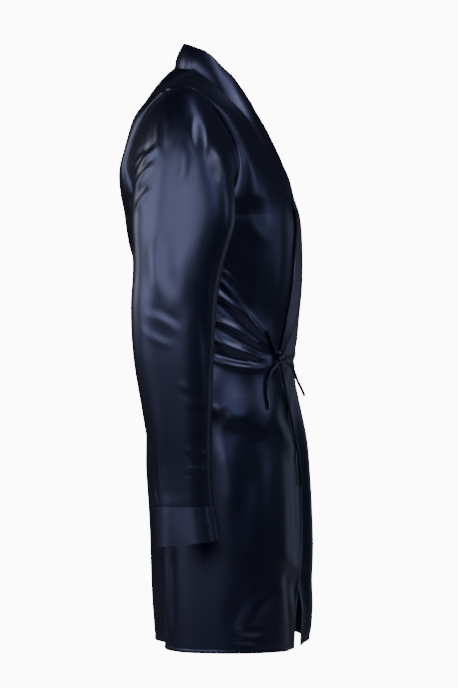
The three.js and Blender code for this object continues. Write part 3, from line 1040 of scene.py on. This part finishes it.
@dataclass
class FrontPanel(SidedPiece):
    """One front: side seam to front edge, hem to shoulder."""

    kind: ClassVar[str] = "front"
    fineness: int = 20  # rows per level of the table
    even_share: float = 0.88  # of the width, from the side seam; the rest has closer columns
    even_columns: int = 90
    edge_columns: int = 27
    seed: int = 5
    unevenness: float = 0.8
    hang: float = 0.35  # how much the waves stretch along the hang of the cloth
    slit_steps: int = 7

    def build(self) -> None:
        """Build the panel with its folds."""
        level = level_rows(self.fineness)[:, None]
        hand = self.side.value
        half = LEVELS.at("x", level)
        edge = hand * FORM.edge(self.side, "seam", level)
        end = np.arcsin(np.clip(edge / half, -1, 1))
        even = np.linspace(0, self.even_share, self.even_columns)
        close = np.linspace(self.even_share, 1, self.edge_columns)[1:]
        across = np.concatenate([even, close])[None, :]
        x = hand * half * np.sin(math.pi / 2 + (end - math.pi / 2) * across)
        grid = FORM.front_point(self.side, level + 0 * x, x)
        shell = Shell(grid)
        shell.orient(outward(x, -1))
        y, z = grid[..., 1], grid[..., 2]
        inside = np.abs(x - edge * hand)
        lift = total_lift(front_creases(self.side), y, z)
        lift += self.unevenness * Ripple(self.seed + hand).lift(x, z * self.hang)
        calm = fading(across, 0.06, 0.05) * smooth(0, 0.5, TOP - level)
        edge_lift = turned_relief(inside, EDGE_STITCH, 0.4) * (1 - smooth(*TURN, z))
        shell.displace(lift * calm + hem_relief(grid) + edge_lift)
        self.obj = shell.mesh(self.name, CLOTH)
        self.seams = [shell.hem_line(HEM_STITCH), self.edge_line(shell, inside, z)]
        if self.side is Side.RIGHT:
            self.seams.append(self.slit(shell, x, z))

    def edge_line(self, shell: Shell, inside: np.ndarray, z: np.ndarray) -> np.ndarray:
        """Return the line of the stitching inside the turned edge.

        Args:
            shell: the panel's wall.
            inside: distances of its grid from the edge.
            z: heights of its grid.

        Returns:
            The line's points.
        """
        rows = np.arange(int((z[:, -1] < TURN[0]).sum()))
        cols = np.arange(inside.shape[1])[::-1]
        return shell.line(rows, np.array([np.interp(EDGE_STITCH, inside[i, ::-1], cols) for i in rows]))

    def slit(self, shell: Shell, x: np.ndarray, z: np.ndarray) -> np.ndarray:
        """Return the stitched outline of the slit that a tie comes out of.

        Args:
            shell: the panel's wall.
            x: positions across of its grid.
            z: heights of its grid.

        Returns:
            The outline's points.
        """
        row = int(np.argmin(np.abs(z[:, z.shape[1] // 2] - SLIT["z"])))
        rows = np.arange(len(z))
        points = []
        for lift, ends in ((SLIT["gap"], (-1, 1)), (-SLIT["gap"], (1, -1))):
            for share in np.linspace(*ends, self.slit_steps):
                at = SLIT["x"] + SLIT["half"] * share
                col = float(np.interp(at, x[row], np.arange(x.shape[1])))
                here = np.interp(SLIT["z"] + lift, z[:, int(round(col))], rows)
                points.append(shell.line([here], [col])[0])
        return np.array([*points, points[0]])

    def declare(self) -> None:
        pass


@dataclass
class BackPanel(Piece):
    """The back, one piece from side seam to side seam."""

    kind: ClassVar[str] = "back"
    fineness: int = 14  # rows per level of the table
    columns: int = 140
    shoulder_share: float = 0.3  # of the columns, on either shoulder seam; the rest is on the neck
    spread_levels: float = 5.0
    seed: int = 21
    unevenness: float = 0.9
    hang: float = 0.35

    def top_share(self, c: np.ndarray) -> np.ndarray:
        """Return where the columns meet the top edge, as shares of its half width.

        Args:
            c: the columns, as shares of the way across.

        Returns:
            The shares, -1 to 1.
        """
        neck_share = NECK_X / SHOULDER_X
        from_end = np.minimum(c, 1 - c)
        shoulder = from_end / self.shoulder_share
        neck = np.clip((from_end - self.shoulder_share) / (0.5 - self.shoulder_share), 0, 1)
        on_shoulder, on_neck = 1 + (neck_share - 1) * shoulder, neck_share * np.cos(math.pi / 2 * neck)
        return np.where(shoulder <= 1, on_shoulder, on_neck) * np.sign(c - 0.5)

    def build(self) -> None:
        """Build the panel with its folds."""
        level = level_rows(self.fineness)[:, None]
        c = np.linspace(0, 1, self.columns + 1)[None, :]
        low = np.sin(math.pi * (c - 0.5))
        share = low + (self.top_share(c) - low) * smooth(TOP - self.spread_levels, TOP, level)
        x = LEVELS.at("x", level) * share
        grid = FORM.point(False, level + 0 * x, x)
        grid += (FORM.back_top(x) - grid) * FORM.on_seam(level, np.abs(share))[..., None]
        shell = Shell(grid)
        shell.orient(outward(x, 1))
        y, z = grid[..., 1], grid[..., 2]
        lift = self.unevenness * Ripple(self.seed).lift(x, z * self.hang)
        for side, creases in BACK_CREASES.items():
            lift += smooth(-20, 30, x * side.value) * total_lift(creases, y, z)
        calm = fading(c, 0.04, 0.04) * smooth(0, 0.5, TOP - level)
        shell.displace(lift * calm + hem_relief(grid))
        self.obj = shell.mesh(self.name, CLOTH)
        self.seams = [shell.hem_line(HEM_STITCH)]

    def declare(self) -> None:
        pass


def armhole(fine: int) -> np.ndarray:
    """Return the right armhole's points: up the front from the armpit, then down the back.

    Args:
        fine: points per level of the table.

    Returns:
        The points, in millimetres.
    """
    level = np.linspace(ARMPIT_LEVEL, TOP, (TOP - ARMPIT_LEVEL) * fine + 1)
    x, z = -LEVELS.at("x", level), LEVELS.at("zs", level)
    front = np.stack([x, LEVELS.at("yf", level), z], -1)
    back = np.stack([x, LEVELS.at("yb", level), z], -1)
    return np.concatenate([front, back[1:-1][::-1]])


def ring_points(sides: dict[str, np.ndarray], angle: np.ndarray, z: np.ndarray) -> np.ndarray:
    """Return points of a rounded ring.

    Args:
        sides: front and back y, inner and outer x.
        angle: angles from the inner side over the front.
        z: heights.

    Returns:
        The points.
    """
    c, s = np.cos(angle), np.sin(angle)
    r = 1 / (np.abs(c) ** SLEEVE_SQUARE + np.abs(s) ** SLEEVE_SQUARE) ** (1 / SLEEVE_SQUARE)
    x = (sides["inner"] + sides["outer"]) / 2 + (sides["inner"] - sides["outer"]) / 2 * c * r
    y = (sides["front"] + sides["back"]) / 2 - (sides["back"] - sides["front"]) / 2 * s * r
    return np.stack(np.broadcast_arrays(x, y, z), -1)


def sleeve_ring(row: np.ndarray, angle: np.ndarray) -> np.ndarray:
    """Return sleeve rings at fractional rows of the sleeve's table.

    Args:
        row: fractional rows.
        angle: angles round the sleeve.

    Returns:
        The points.
    """
    sides = {key: SLEEVE.at(key, row) for key in ("front", "back", "inner", "outer")}
    return ring_points(sides, angle, SLEEVE.at("z", row))


def eased(grid: np.ndarray, share: np.ndarray, times: int = 40) -> np.ndarray:
    """Return a closed grid with its kinks round the rings softened.

    Args:
        grid: points by ring and column.
        share: how much each ring is softened, 0 to 1.
        times: how many times each point takes the mean of its neighbours.

    Returns:
        The softened grid.
    """
    soft = grid
    for _ in range(times):
        soft = (np.roll(soft, 1, axis=1) + 2 * soft + np.roll(soft, -1, axis=1)) / 4
    return grid + (soft - grid) * share[..., None]


def mirrored(grid: np.ndarray, side: Side) -> np.ndarray:
    """Return a right-hand grid as it is, or mirrored for the left.

    Args:
        grid: points of the right-hand piece.
        side: the side wanted.

    Returns:
        The points of that side.
    """
    return grid * np.array([1 if side is Side.RIGHT else -1, 1, 1])


@dataclass
class Sleeve(SidedPiece):
    """A set-in sleeve from armhole to cuff."""

    kind: ClassVar[str] = "sleeve"
    hole_points: int = 10  # per level of the table
    cap_rows: int = 71
    arm_rows: int = 116
    off_seam: float = 0.3
    hole_pull: float = 1.15  # how strongly the cap leaves the armhole, as a share of its reach
    arm_pull: tuple[float, float] = (0.75, 0.45)  # the same at the arm: underarm, and more at the crown
    allowance: float = 5.0
    under: float = 1.6  # how far the allowance lies under the body's cloth
    seed: int = 40
    unevenness: float = 0.7
    hang: float = 0.4
    girth: float = 50.0  # scales the waves round the sleeve

    def cap(self, start: np.ndarray, angle: np.ndarray) -> np.ndarray:
        """Return the rounded cap, between the armhole and the straight of the sleeve.

        Args:
            start: the right sleeve's ring at the armhole.
            angle: angles round the sleeve.

        Returns:
            Points by ring and position round it.
        """
        first = sleeve_ring(np.array(0.0), angle)
        t = np.linspace(0, 1, self.cap_rows)[:, None, None]
        reach = np.linalg.norm(start - first, axis=-1)[:, None]
        crown = ((1 - np.cos(angle)) / 2)[:, None]
        away = np.concatenate([np.full_like(crown, -0.95), 0 * crown, -0.25 - 0.2 * (1 - crown)], -1)
        away *= reach * self.hole_pull / np.linalg.norm(away, axis=-1, keepdims=True)
        down = sleeve_ring(np.array(0.04), angle) - first
        pull = self.arm_pull[0] + self.arm_pull[1] * crown
        down *= reach * pull / np.linalg.norm(down, axis=-1, keepdims=True)
        t2, t3 = t * t, t * t * t
        from_hole = start * (2 * t3 - 3 * t2 + 1) + away * (t3 - 2 * t2 + t)
        to_arm = first * (3 * t2 - 2 * t3) + down * (t3 - t2)
        return eased(from_hole + to_arm, fading(t[..., 0], 0.2, 0.35))

    def tuck(self, ring: np.ndarray) -> np.ndarray:
        """Return two rows of seam allowance, turned in under the body at the armhole.

        Args:
            ring: the right sleeve's ring at the armhole.

        Returns:
            The rows, the innermost first.
        """
        under = (ring.mean(axis=0) - ring) * np.array([0, 1.0, 1.0])
        under /= np.linalg.norm(under, axis=-1, keepdims=True)
        inward = np.array([self.allowance, 0, 0]) + self.under * under
        return np.stack([ring + inward, ring + 0.04 * inward + 0.1 * under])

    def build(self) -> None:
        """Build the sleeve with its folds."""
        holes = armhole(self.hole_points)
        angle = 2 * math.pi * np.arange(len(holes)) / len(holes)
        start = holes - np.array([self.off_seam, 0, 0])
        tuck = self.tuck(start)
        arm = sleeve_ring(np.linspace(0, SLEEVE.rows - 1, self.arm_rows)[1:, None], angle[None, :])
        grid = mirrored(np.concatenate([tuck, self.cap(start, angle), arm]), self.side)
        shell = Shell(grid, closed=True)
        middle = grid.mean(axis=1, keepdims=True)
        middle[: len(tuck)] = middle[len(tuck)]
        shell.orient(grid - middle)
        y, z = grid[..., 1], grid[..., 2]
        outer = smooth(-0.3, 0.5, shell.normals[..., 0] * self.side.value)
        around = self.girth * np.cos(angle)[None, :] * np.ones_like(z)
        waves = Ripple(self.seed + self.side.value).lift(around + y, z * self.hang)
        lift = total_lift(SLEEVE_CREASES, y, z) * outer + self.unevenness * waves
        ends = np.maximum(np.arange(len(grid))[:, None] - len(tuck), 0) / (len(grid) - len(tuck) - 1)
        shell.displace(lift * fading(ends, 0.05, 0.04))
        self.obj = shell.mesh(self.name, CLOTH)

    def declare(self) -> None:
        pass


@dataclass
class Cuff(SidedPiece):
    """A cuff, folded double."""

    kind: ClassVar[str] = "cuff"
    columns: int = 120
    rows: int = 25
    gap: float = 0.4  # between the sleeve and the cuff
    fullness: float = 0.35
    seed: int = 60
    unevenness: float = 0.4
    girth: float = 50.0
    stitch_rows: tuple[float, float] = (1.2, 22.5)

    def build(self) -> None:
        """Build the cuff."""
        angle = 2 * math.pi * np.arange(self.columns) / self.columns
        top = sleeve_ring(np.array(SLEEVE.rows - 1.0), angle)
        hem = ring_points(CUFF_HEM, angle, top[:, 2] - CUFF_DEPTH + CUFF_TILT * np.sin(angle))
        t = np.linspace(0, 1, self.rows)[:, None, None]
        grid = mirrored(top + (hem - top) * t - np.array([0, 0, self.gap]), self.side)
        shell = Shell(grid, closed=True)
        shell.orient(grid - grid.mean(axis=1, keepdims=True))
        around = self.girth * np.cos(angle)[None, :] + grid[..., 1]
        shell.displace(self.fullness + self.unevenness * Ripple(self.seed).lift(around, grid[..., 2]))
        self.obj = shell.mesh(self.name, DOUBLE)
        for row in self.stitch_rows:
            round_line = shell.line(row, np.arange(self.columns - 1))
            self.seams.append(np.concatenate([round_line, round_line[:1]]))

    def declare(self) -> None:
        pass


@dataclass
class Neckband(Piece):
    """The neckband: up the right front, round the neck and down the left front."""

    kind: ClassVar[str] = "neckband"
    columns: int = 14
    front_rows: int = 111
    back_rows: int = 60
    roll: float = 3.2  # how far the band's middle bows out
    roll_over: tuple[float, float] = (-200.0, -60.0)
    rise_over: tuple[float, float] = (-232.0, -182.0)
    stitch_column: float = 0.8

    def section(self, seam: np.ndarray, fold: np.ndarray, roll: np.ndarray) -> np.ndarray:
        """Return sections of the band between its seam and its fold.

        Args:
            seam: points of the seam.
            fold: points of the free edge.
            roll: how far the middle bows out.

        Returns:
            Points by section and position across.
        """
        t = np.linspace(0, 1, self.columns + 1)[None, :, None]
        points = seam[:, None, :] * (1 - t) + fold[:, None, :] * t
        out = points - np.array([0, 5.0, 0])
        out[..., 2] = 0
        out /= np.linalg.norm(out, axis=-1, keepdims=True)
        return points + out * roll[:, None, None] * np.sin(math.pi * t)

    def front_length(self, side: Side) -> np.ndarray:
        """Return the sections of one front's length, from knot to shoulder.

        Args:
            side: which front.

        Returns:
            Points by section and position across.
        """
        level = np.linspace(KNOT_LEVEL, TOP, self.front_rows)
        seam = FORM.front_point(side, level, FORM.edge(side, "seam", level))
        fold = FORM.front_point(side, level, FORM.edge(side, "fold", level))
        row = STAND.row_of("z", seam[:, 2])
        y = STAND.at(side.name.lower(), row)
        stand = np.stack([side.value * STAND.at("x", row), y, seam[:, 2] + STAND.at("up", row)], -1)
        up = smooth(*self.rise_over, seam[:, 2])[:, None]
        roll = self.roll * smooth(*self.roll_over, seam[:, 2])
        return self.section(seam, fold + (stand - fold) * up, roll)

    def build(self) -> None:
        """Build the band."""
        a = math.pi * np.arange(1, self.back_rows) / self.back_rows
        x, deep = -np.cos(a), np.sin(a)
        low = NECK_Z + STAND_RISE
        y, z = STAND_Y + (STAND_BACK_Y - STAND_Y) * deep, low + (STAND_BACK_Z - low) * deep
        fold = np.stack([STAND_X * x, y, z], -1)
        back = self.section(FORM.back_top(NECK_X * x), fold, np.full(len(a), self.roll))
        right, left = self.front_length(Side.RIGHT), self.front_length(Side.LEFT)
        grid = np.concatenate([right, back, left[::-1]])
        shell = Shell(grid)
        shell.orient(grid)
        self.obj = shell.mesh(self.name, DOUBLE)
        self.seams = [shell.line(np.arange(len(grid)), self.stitch_column)]

    def declare(self) -> None:
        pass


KNOT = {"x": -74.0, "z": -397.0, "off": 7.4, "width": 15.0, "depth": 11.5, "height": 13.0}
KNOT_MIDDLE = FORM.off_front(KNOT["x"], KNOT["z"], KNOT["off"])
KNOT_SIZE = np.array([KNOT["width"], KNOT["depth"], KNOT["height"]]) / 2
KNOT_SWELL, KNOT_CLEAR = 1.05, 0.8  # the ties start clear of the knot's ridges by these


@dataclass(frozen=True)
class TieRoute:
    """How a tie leaves the knot, and where it goes: x, z and distance off the cloth."""

    name: str
    leaves: tuple[float, float, float]
    path: tuple[tuple[float, float, float], ...]
    over: float = 1.3  # how far it clears a crease, as a share of the crease's height

    def points(self) -> np.ndarray:
        """Return the route's points.

        Returns:
            The points, in millimetres.
        """
        out = np.array(self.leaves) / np.linalg.norm(self.leaves)
        reach = 1 / np.linalg.norm(out / KNOT_SIZE)
        start = KNOT_MIDDLE + out * (reach * KNOT_SWELL + KNOT_CLEAR)
        return np.array([start, *(self.clear_of_creases(FORM.off_front(*p)) for p in self.path)])

    def clear_of_creases(self, point: np.ndarray) -> np.ndarray:
        """Return a point of the route moved out by the creases under it.

        Args:
            point: the point.

        Returns:
            The moved point.
        """
        edge = EDGES.at("right_seam", EDGES.row_of("z", point[2]))
        side = Side.RIGHT if point[0] < edge else Side.LEFT
        lift = float(total_lift(front_creases(side), point[1], point[2]))
        return point - np.array([0, self.over * max(lift, 0.0), 0])


ROUTES = (
    TieRoute("tie_from_slit", (-0.62, 0.1, 0.78),
             ((-84, -386.5, 4.5), (-92, -377, 3.4), (-98, -368, 3), (-103, -361, 2.8))),
    TieRoute("tie_tail_right", (-0.76, 0.12, -0.66),
             ((-86, -408.5, 3.6), (-95, -419, 2.9), (-103, -440, 2.8), (-108, -463, 2.8))),
    TieRoute("tie_tail_left", (0.84, -0.2, -0.5),
             ((-60, -404, 9.5), (-50, -411, 12), (-38, -427, 14), (-29, -438, 17), (-22, -447, 19))),
    TieRoute("tie_tail_long", (0.2, 0.12, -0.97),
             ((-68, -413, 4.6), (-61, -428, 3.3), (-51, -450, 3.1), (-35, -478, 3.1),
              (-12, -507, 3.1), (4, -537, 3.1), (11, -570, 3.1))),
)


def catmull(points: np.ndarray, steps: int) -> np.ndarray:
    """Return a smooth line through points.

    Args:
        points: the points.
        steps: how many steps the line has.

    Returns:
        steps + 1 points.
    """
    span = np.linalg.norm(np.diff(points, axis=0), axis=1)
    along = np.concatenate([[0], np.cumsum(np.sqrt(span))])
    table = Table("x y z", [tuple(p) for p in points])
    row = np.interp(np.linspace(0, along[-1], steps + 1), along, np.arange(len(points)))
    return np.stack([table.at(k, row) for k in "xyz"], -1)


@dataclass
class Tie(Piece):
    """One length of the waist ties, a flattened tube."""

    route: TieRoute
    steps: int = 60
    sides: int = 14
    flatness: float = 0.82
    smooth_angle: float = 60.0

    def __post_init__(self) -> None:
        """Work out the centreline."""
        self.line = catmull(self.route.points(), self.steps)

    @property
    def name(self) -> str:
        """Return the name of the piece and of the node it stands for."""
        return self.route.name

    def build(self) -> None:
        """Build the tie."""
        tangent = np.gradient(self.line, axis=0)
        tangent /= np.linalg.norm(tangent, axis=1, keepdims=True)
        across = np.cross(np.array([0, -1.0, 0]), tangent)
        across /= np.linalg.norm(across, axis=1, keepdims=True)
        out = np.cross(tangent, across)
        a = (2 * math.pi * np.arange(self.sides) / self.sides)[None, :, None]
        section = across[:, None, :] * np.cos(a) + out[:, None, :] * np.sin(a) * self.flatness
        rings = self.line[:, None, :] + section * TIE / 2
        self.obj = ringed_object(self.name, rings, self.line[[0, -1]], self.smooth_angle)

    def declare(self) -> None:
        """Declare nothing for any tie: the tails are not declared as free cords, and the length from the
        slit, fixed at both ends, returns at once.
        """
        if self.name == "tie_from_slit":
            return


@dataclass
class Knot(Piece):
    """The knot of the waist ties, a lump with twisted ridges."""

    kind: ClassVar[str] = "tie_knot"
    columns: int = 48
    rows: int = 40
    pole: float = 0.02
    ridges: int = 3
    ridge_height: float = 0.09
    twist: float = 2.4

    def build(self) -> None:
        """Build the knot."""
        a = np.linspace(0, 2 * math.pi, self.columns + 1)[None, :-1]
        b = np.linspace(self.pole, math.pi - self.pole, self.rows)[:, None]
        r = 1 + self.ridge_height * np.sin(b) * np.cos(self.ridges * a + self.twist * np.cos(b))
        flat = r * np.sin(b)
        ball = np.stack([flat * np.cos(a), flat * np.sin(a), r * np.cos(b)], -1)
        rings = ball * KNOT_SIZE + KNOT_MIDDLE
        self.obj = ringed_object(self.name, rings, rings[[0, -1]].mean(axis=1), 180)


@dataclass(frozen=True)
class Stitch:
    """The size of one stitch and the spacing of its row, in millimetres."""

    spacing: float = 3.0
    length: float = 2.3
    width: float = 0.42
    sides: int = 6

    def tree(self, finish: bpy.types.Material) -> tuple[bpy.types.NodeTree, dict[str, str]]:
        """Build the node tree that lays stitches end to end along a mesh's edges.

        Args:
            finish: the thread's material.

        Returns:
            The tree, and the identifier of each named input.
        """
        tree = bpy.data.node_groups.new("stitch_rows", "GeometryNodeTree")
        tree.interface.new_socket("Geometry", in_out="INPUT", socket_type="NodeSocketGeometry")
        names = {}
        for name in ("Spacing", "Length", "Radius"):
            socket = tree.interface.new_socket(name, in_out="INPUT", socket_type="NodeSocketFloat")
            names[name] = socket.identifier
        tree.interface.new_socket("Geometry", in_out="OUTPUT", socket_type="NodeSocketGeometry")
        new = tree.nodes.new
        start, end = new("NodeGroupInput"), new("NodeGroupOutput")
        curve, spaced = new("GeometryNodeMeshToCurve"), new("GeometryNodeResampleCurve")
        spaced.mode = "LENGTH"
        tangent, turn = new("GeometryNodeInputTangent"), new("FunctionNodeAlignRotationToVector")
        turn.axis = "Z"
        thread, place = new("GeometryNodeMeshCylinder"), new("GeometryNodeInstanceOnPoints")
        real, coat = new("GeometryNodeRealizeInstances"), new("GeometryNodeSetMaterial")
        set_inputs(thread, {"Vertices": self.sides})
        set_inputs(coat, {"Material": finish})
        link_nodes(
            tree,
            (start, "Geometry", curve, "Mesh"),
            (curve, "Curve", spaced, "Curve"),
            (start, "Spacing", spaced, "Length"),
            (start, "Length", thread, "Depth"),
            (start, "Radius", thread, "Radius"),
            (spaced, "Curve", place, "Points"),
            (thread, "Mesh", place, "Instance"),
            (tangent, "Tangent", turn, "Vector"),
            (turn, "Rotation", place, "Rotation"),
            (place, "Instances", real, "Geometry"),
            (real, "Geometry", coat, "Geometry"),
            (coat, "Geometry", end, "Geometry"),
        )
        return tree, names


@dataclass
class Stitching(Piece):
    """All the rows of stitching, as one mesh."""

    kind: ClassVar[str] = "stitching"
    sewn: list[Piece]
    stitch: Stitch
    finish: bpy.types.Material

    def build(self) -> None:
        """Build the stitches with the node tree, then make them a plain mesh."""
        lengths = [row for piece in self.sewn for row in piece.seams]
        points = np.concatenate(lengths)
        ends = np.cumsum([len(row) for row in lengths])
        edges = [(i, i + 1) for i in range(len(points) - 1) if i + 1 not in ends]
        mesh = bpy.data.meshes.new("stitch_lines")
        mesh.from_pydata((points * MM).tolist(), edges, [])
        lines = linked("stitch_lines", mesh)
        tree, names = self.stitch.tree(self.finish)
        modifier = lines.modifiers.new("stitches", "NODES")
        modifier.node_group = tree
        modifier[names["Spacing"]] = self.stitch.spacing * MM
        modifier[names["Length"]] = self.stitch.length * MM
        modifier[names["Radius"]] = self.stitch.width / 2 * MM
        evaluated = lines.evaluated_get(bpy.context.evaluated_depsgraph_get())
        made = bpy.data.meshes.new_from_object(evaluated)
        bpy.data.objects.remove(lines)
        self.obj = linked(self.name, made)

    def dress(self, finish: bpy.types.Material) -> None:
        """Give the stitches their place in the frame.

        Args:
            finish: the cloth's material, which the thread doesn't take.
        """
        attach(self.obj, "root")


@dataclass(frozen=True)
class Lamp:
    """A soft rectangular lamp: place and size in metres, power in watts, spread in degrees."""

    name: str
    place: tuple[float, float, float]
    size: tuple[float, float]
    power: float
    colour: tuple[float, float, float] = (1.0, 1.0, 1.0)
    spread: float = 110.0

    def build(self, aim: Vector) -> None:
        """Add the lamp, turned to a point.

        Args:
            aim: the point that it faces.
        """
        light = bpy.data.lights.new(self.name, "AREA")
        light.shape = "RECTANGLE"
        light.size, light.size_y = self.size
        light.energy, light.color, light.spread = self.power, self.colour, math.radians(self.spread)
        obj = linked(self.name, light)
        obj.location = self.place
        obj.rotation_mode = "QUATERNION"
        obj.rotation_quaternion = (aim - Vector(self.place)).to_track_quat("-Z", "Y")


COOL = (0.62, 0.72, 1.0)
LAMPS = (
    Lamp("key", (-3.05, 0.08, 0.46), (3.0, 0.9), 19),
    Lamp("key_back", (-1.9, 2.4, 0.3), (2.2, 1.1), 17),
    Lamp("back_fill", (0.5, 3.2, 0.4), (1.6, 1.2), 8),
    Lamp("front_top", (-0.7, -2.4, 1.8), (2.4, 1.0), 17),
    Lamp("side_front", (-1.9, -2.2, 0.75), (1.3, 0.6), 3, COOL),
    Lamp("front_high", (0.35, -1.9, 2.3), (1.3, 1.0), 4, COOL),
    Lamp("front", (0.8, -2.5, 0.2), (0.6, 0.8), 1.3, COOL),
    Lamp("rim", (2.6, -1.3, -0.5), (0.7, 1.4), 0.45, COOL),
)


@dataclass(frozen=True)
class Studio:
    """A pale floor, soft lamps and the camera, in metres and degrees."""

    distance: float = 3.0
    azimuth: float = -82.0
    aim: tuple[float, float, float] = (0.0, -0.033, -0.378)
    lens: float = 115.4
    sensor: float = 36.0
    floor_half: float = 3.2
    floor_level: float = -1.45
    floor_grey: float = 0.62
    white: float = 14.0
    dim: float = 0.01

    def floor(self) -> bpy.types.Object:
        """Build a pale floor, too low and small to show in the main view.

        Returns:
            The floor.
        """
        half = self.floor_half
        corners = np.array([(-half, -half), (half, -half), (half, half), (-half, half)])
        points = np.column_stack([corners, np.full(4, self.floor_level)]) / MM
        ground = mesh_object("floor", points, [[0, 1, 2, 3]], 180)
        paint = PlainFinish("pale_floor", (self.floor_grey,) * 3, 0.9)
        ground.data.materials.append(paint.material())
        return ground

    def world(self) -> None:
        """Make a world that is white to the camera and dim to the cloth."""
        world = bpy.data.worlds.new("studio")
        world.use_nodes = True
        nodes = world.node_tree.nodes
        dim, white = nodes["Background"], nodes.new("ShaderNodeBackground")
        set_inputs(dim, {"Color": (1, 1, 1, 1), "Strength": self.dim})
        set_inputs(white, {"Strength": self.white})
        ray, mix = nodes.new("ShaderNodeLightPath"), nodes.new("ShaderNodeMixShader")
        link_nodes(
            world.node_tree,
            (ray, "Is Camera Ray", mix, 0),
            (dim, "Background", mix, 1),
            (white, "Background", mix, 2),
            (mix, "Shader", nodes["World Output"], "Surface"),
        )
        bpy.context.scene.world = world

    def camera(self) -> None:
        """Place the camera."""
        a = math.radians(self.azimuth)
        back = Vector((math.sin(a), -math.cos(a), 0))
        data = bpy.data.cameras.new("camera")
        data.lens, data.sensor_width = self.lens, self.sensor
        data.dof.use_dof = False
        cam = linked("camera", data)
        cam.location = Vector(self.aim) + back * self.distance
        cam.rotation_mode = "QUATERNION"
        cam.rotation_quaternion = (-back).to_track_quat("-Z", "Y")
        bpy.context.scene.camera = cam

    def build(self) -> None:
        """Build the whole studio."""
        ground = self.floor()
        self.world()
        for lamp in LAMPS:
            lamp.build(Vector(self.aim))
        self.camera()


class Robe:
    """The whole robe."""

    def __init__(self) -> None:
        """List the pieces."""
        self.pieces: list[Piece] = [
            BackPanel(),
            *(kind(side) for kind in (FrontPanel, Sleeve, Cuff) for side in Side),
            Neckband(),
            Knot(),
            *(Tie(route) for route in ROUTES),
        ]

    def build(self) -> None:
        """Build and dress every piece."""
        finish = SatinFinish().material()
        for piece in self.pieces:
            self.add(piece, finish)
        thread = PlainFinish("silk_thread", (0.012, 0.014, 0.032), 0.45).material()
        self.add(Stitching(self.pieces, Stitch(), thread), finish)

    def add(self, piece: Piece, finish: bpy.types.Material) -> None:
        """Build and dress one piece; its declare method does nothing.

        Args:
            piece: the piece.
            finish: the cloth's material.
        """
        piece.build()
        piece.dress(finish)
        piece.declare()
        log.info("%s: %d faces", piece.name, len(piece.obj.data.polygons))


def main() -> None:
    """Build the scene."""
    logging.basicConfig(level=logging.INFO)
    Robe().build()
    Studio().build()
    bpy.context.view_layer.update()


if __name__ == "__main__":
    main()
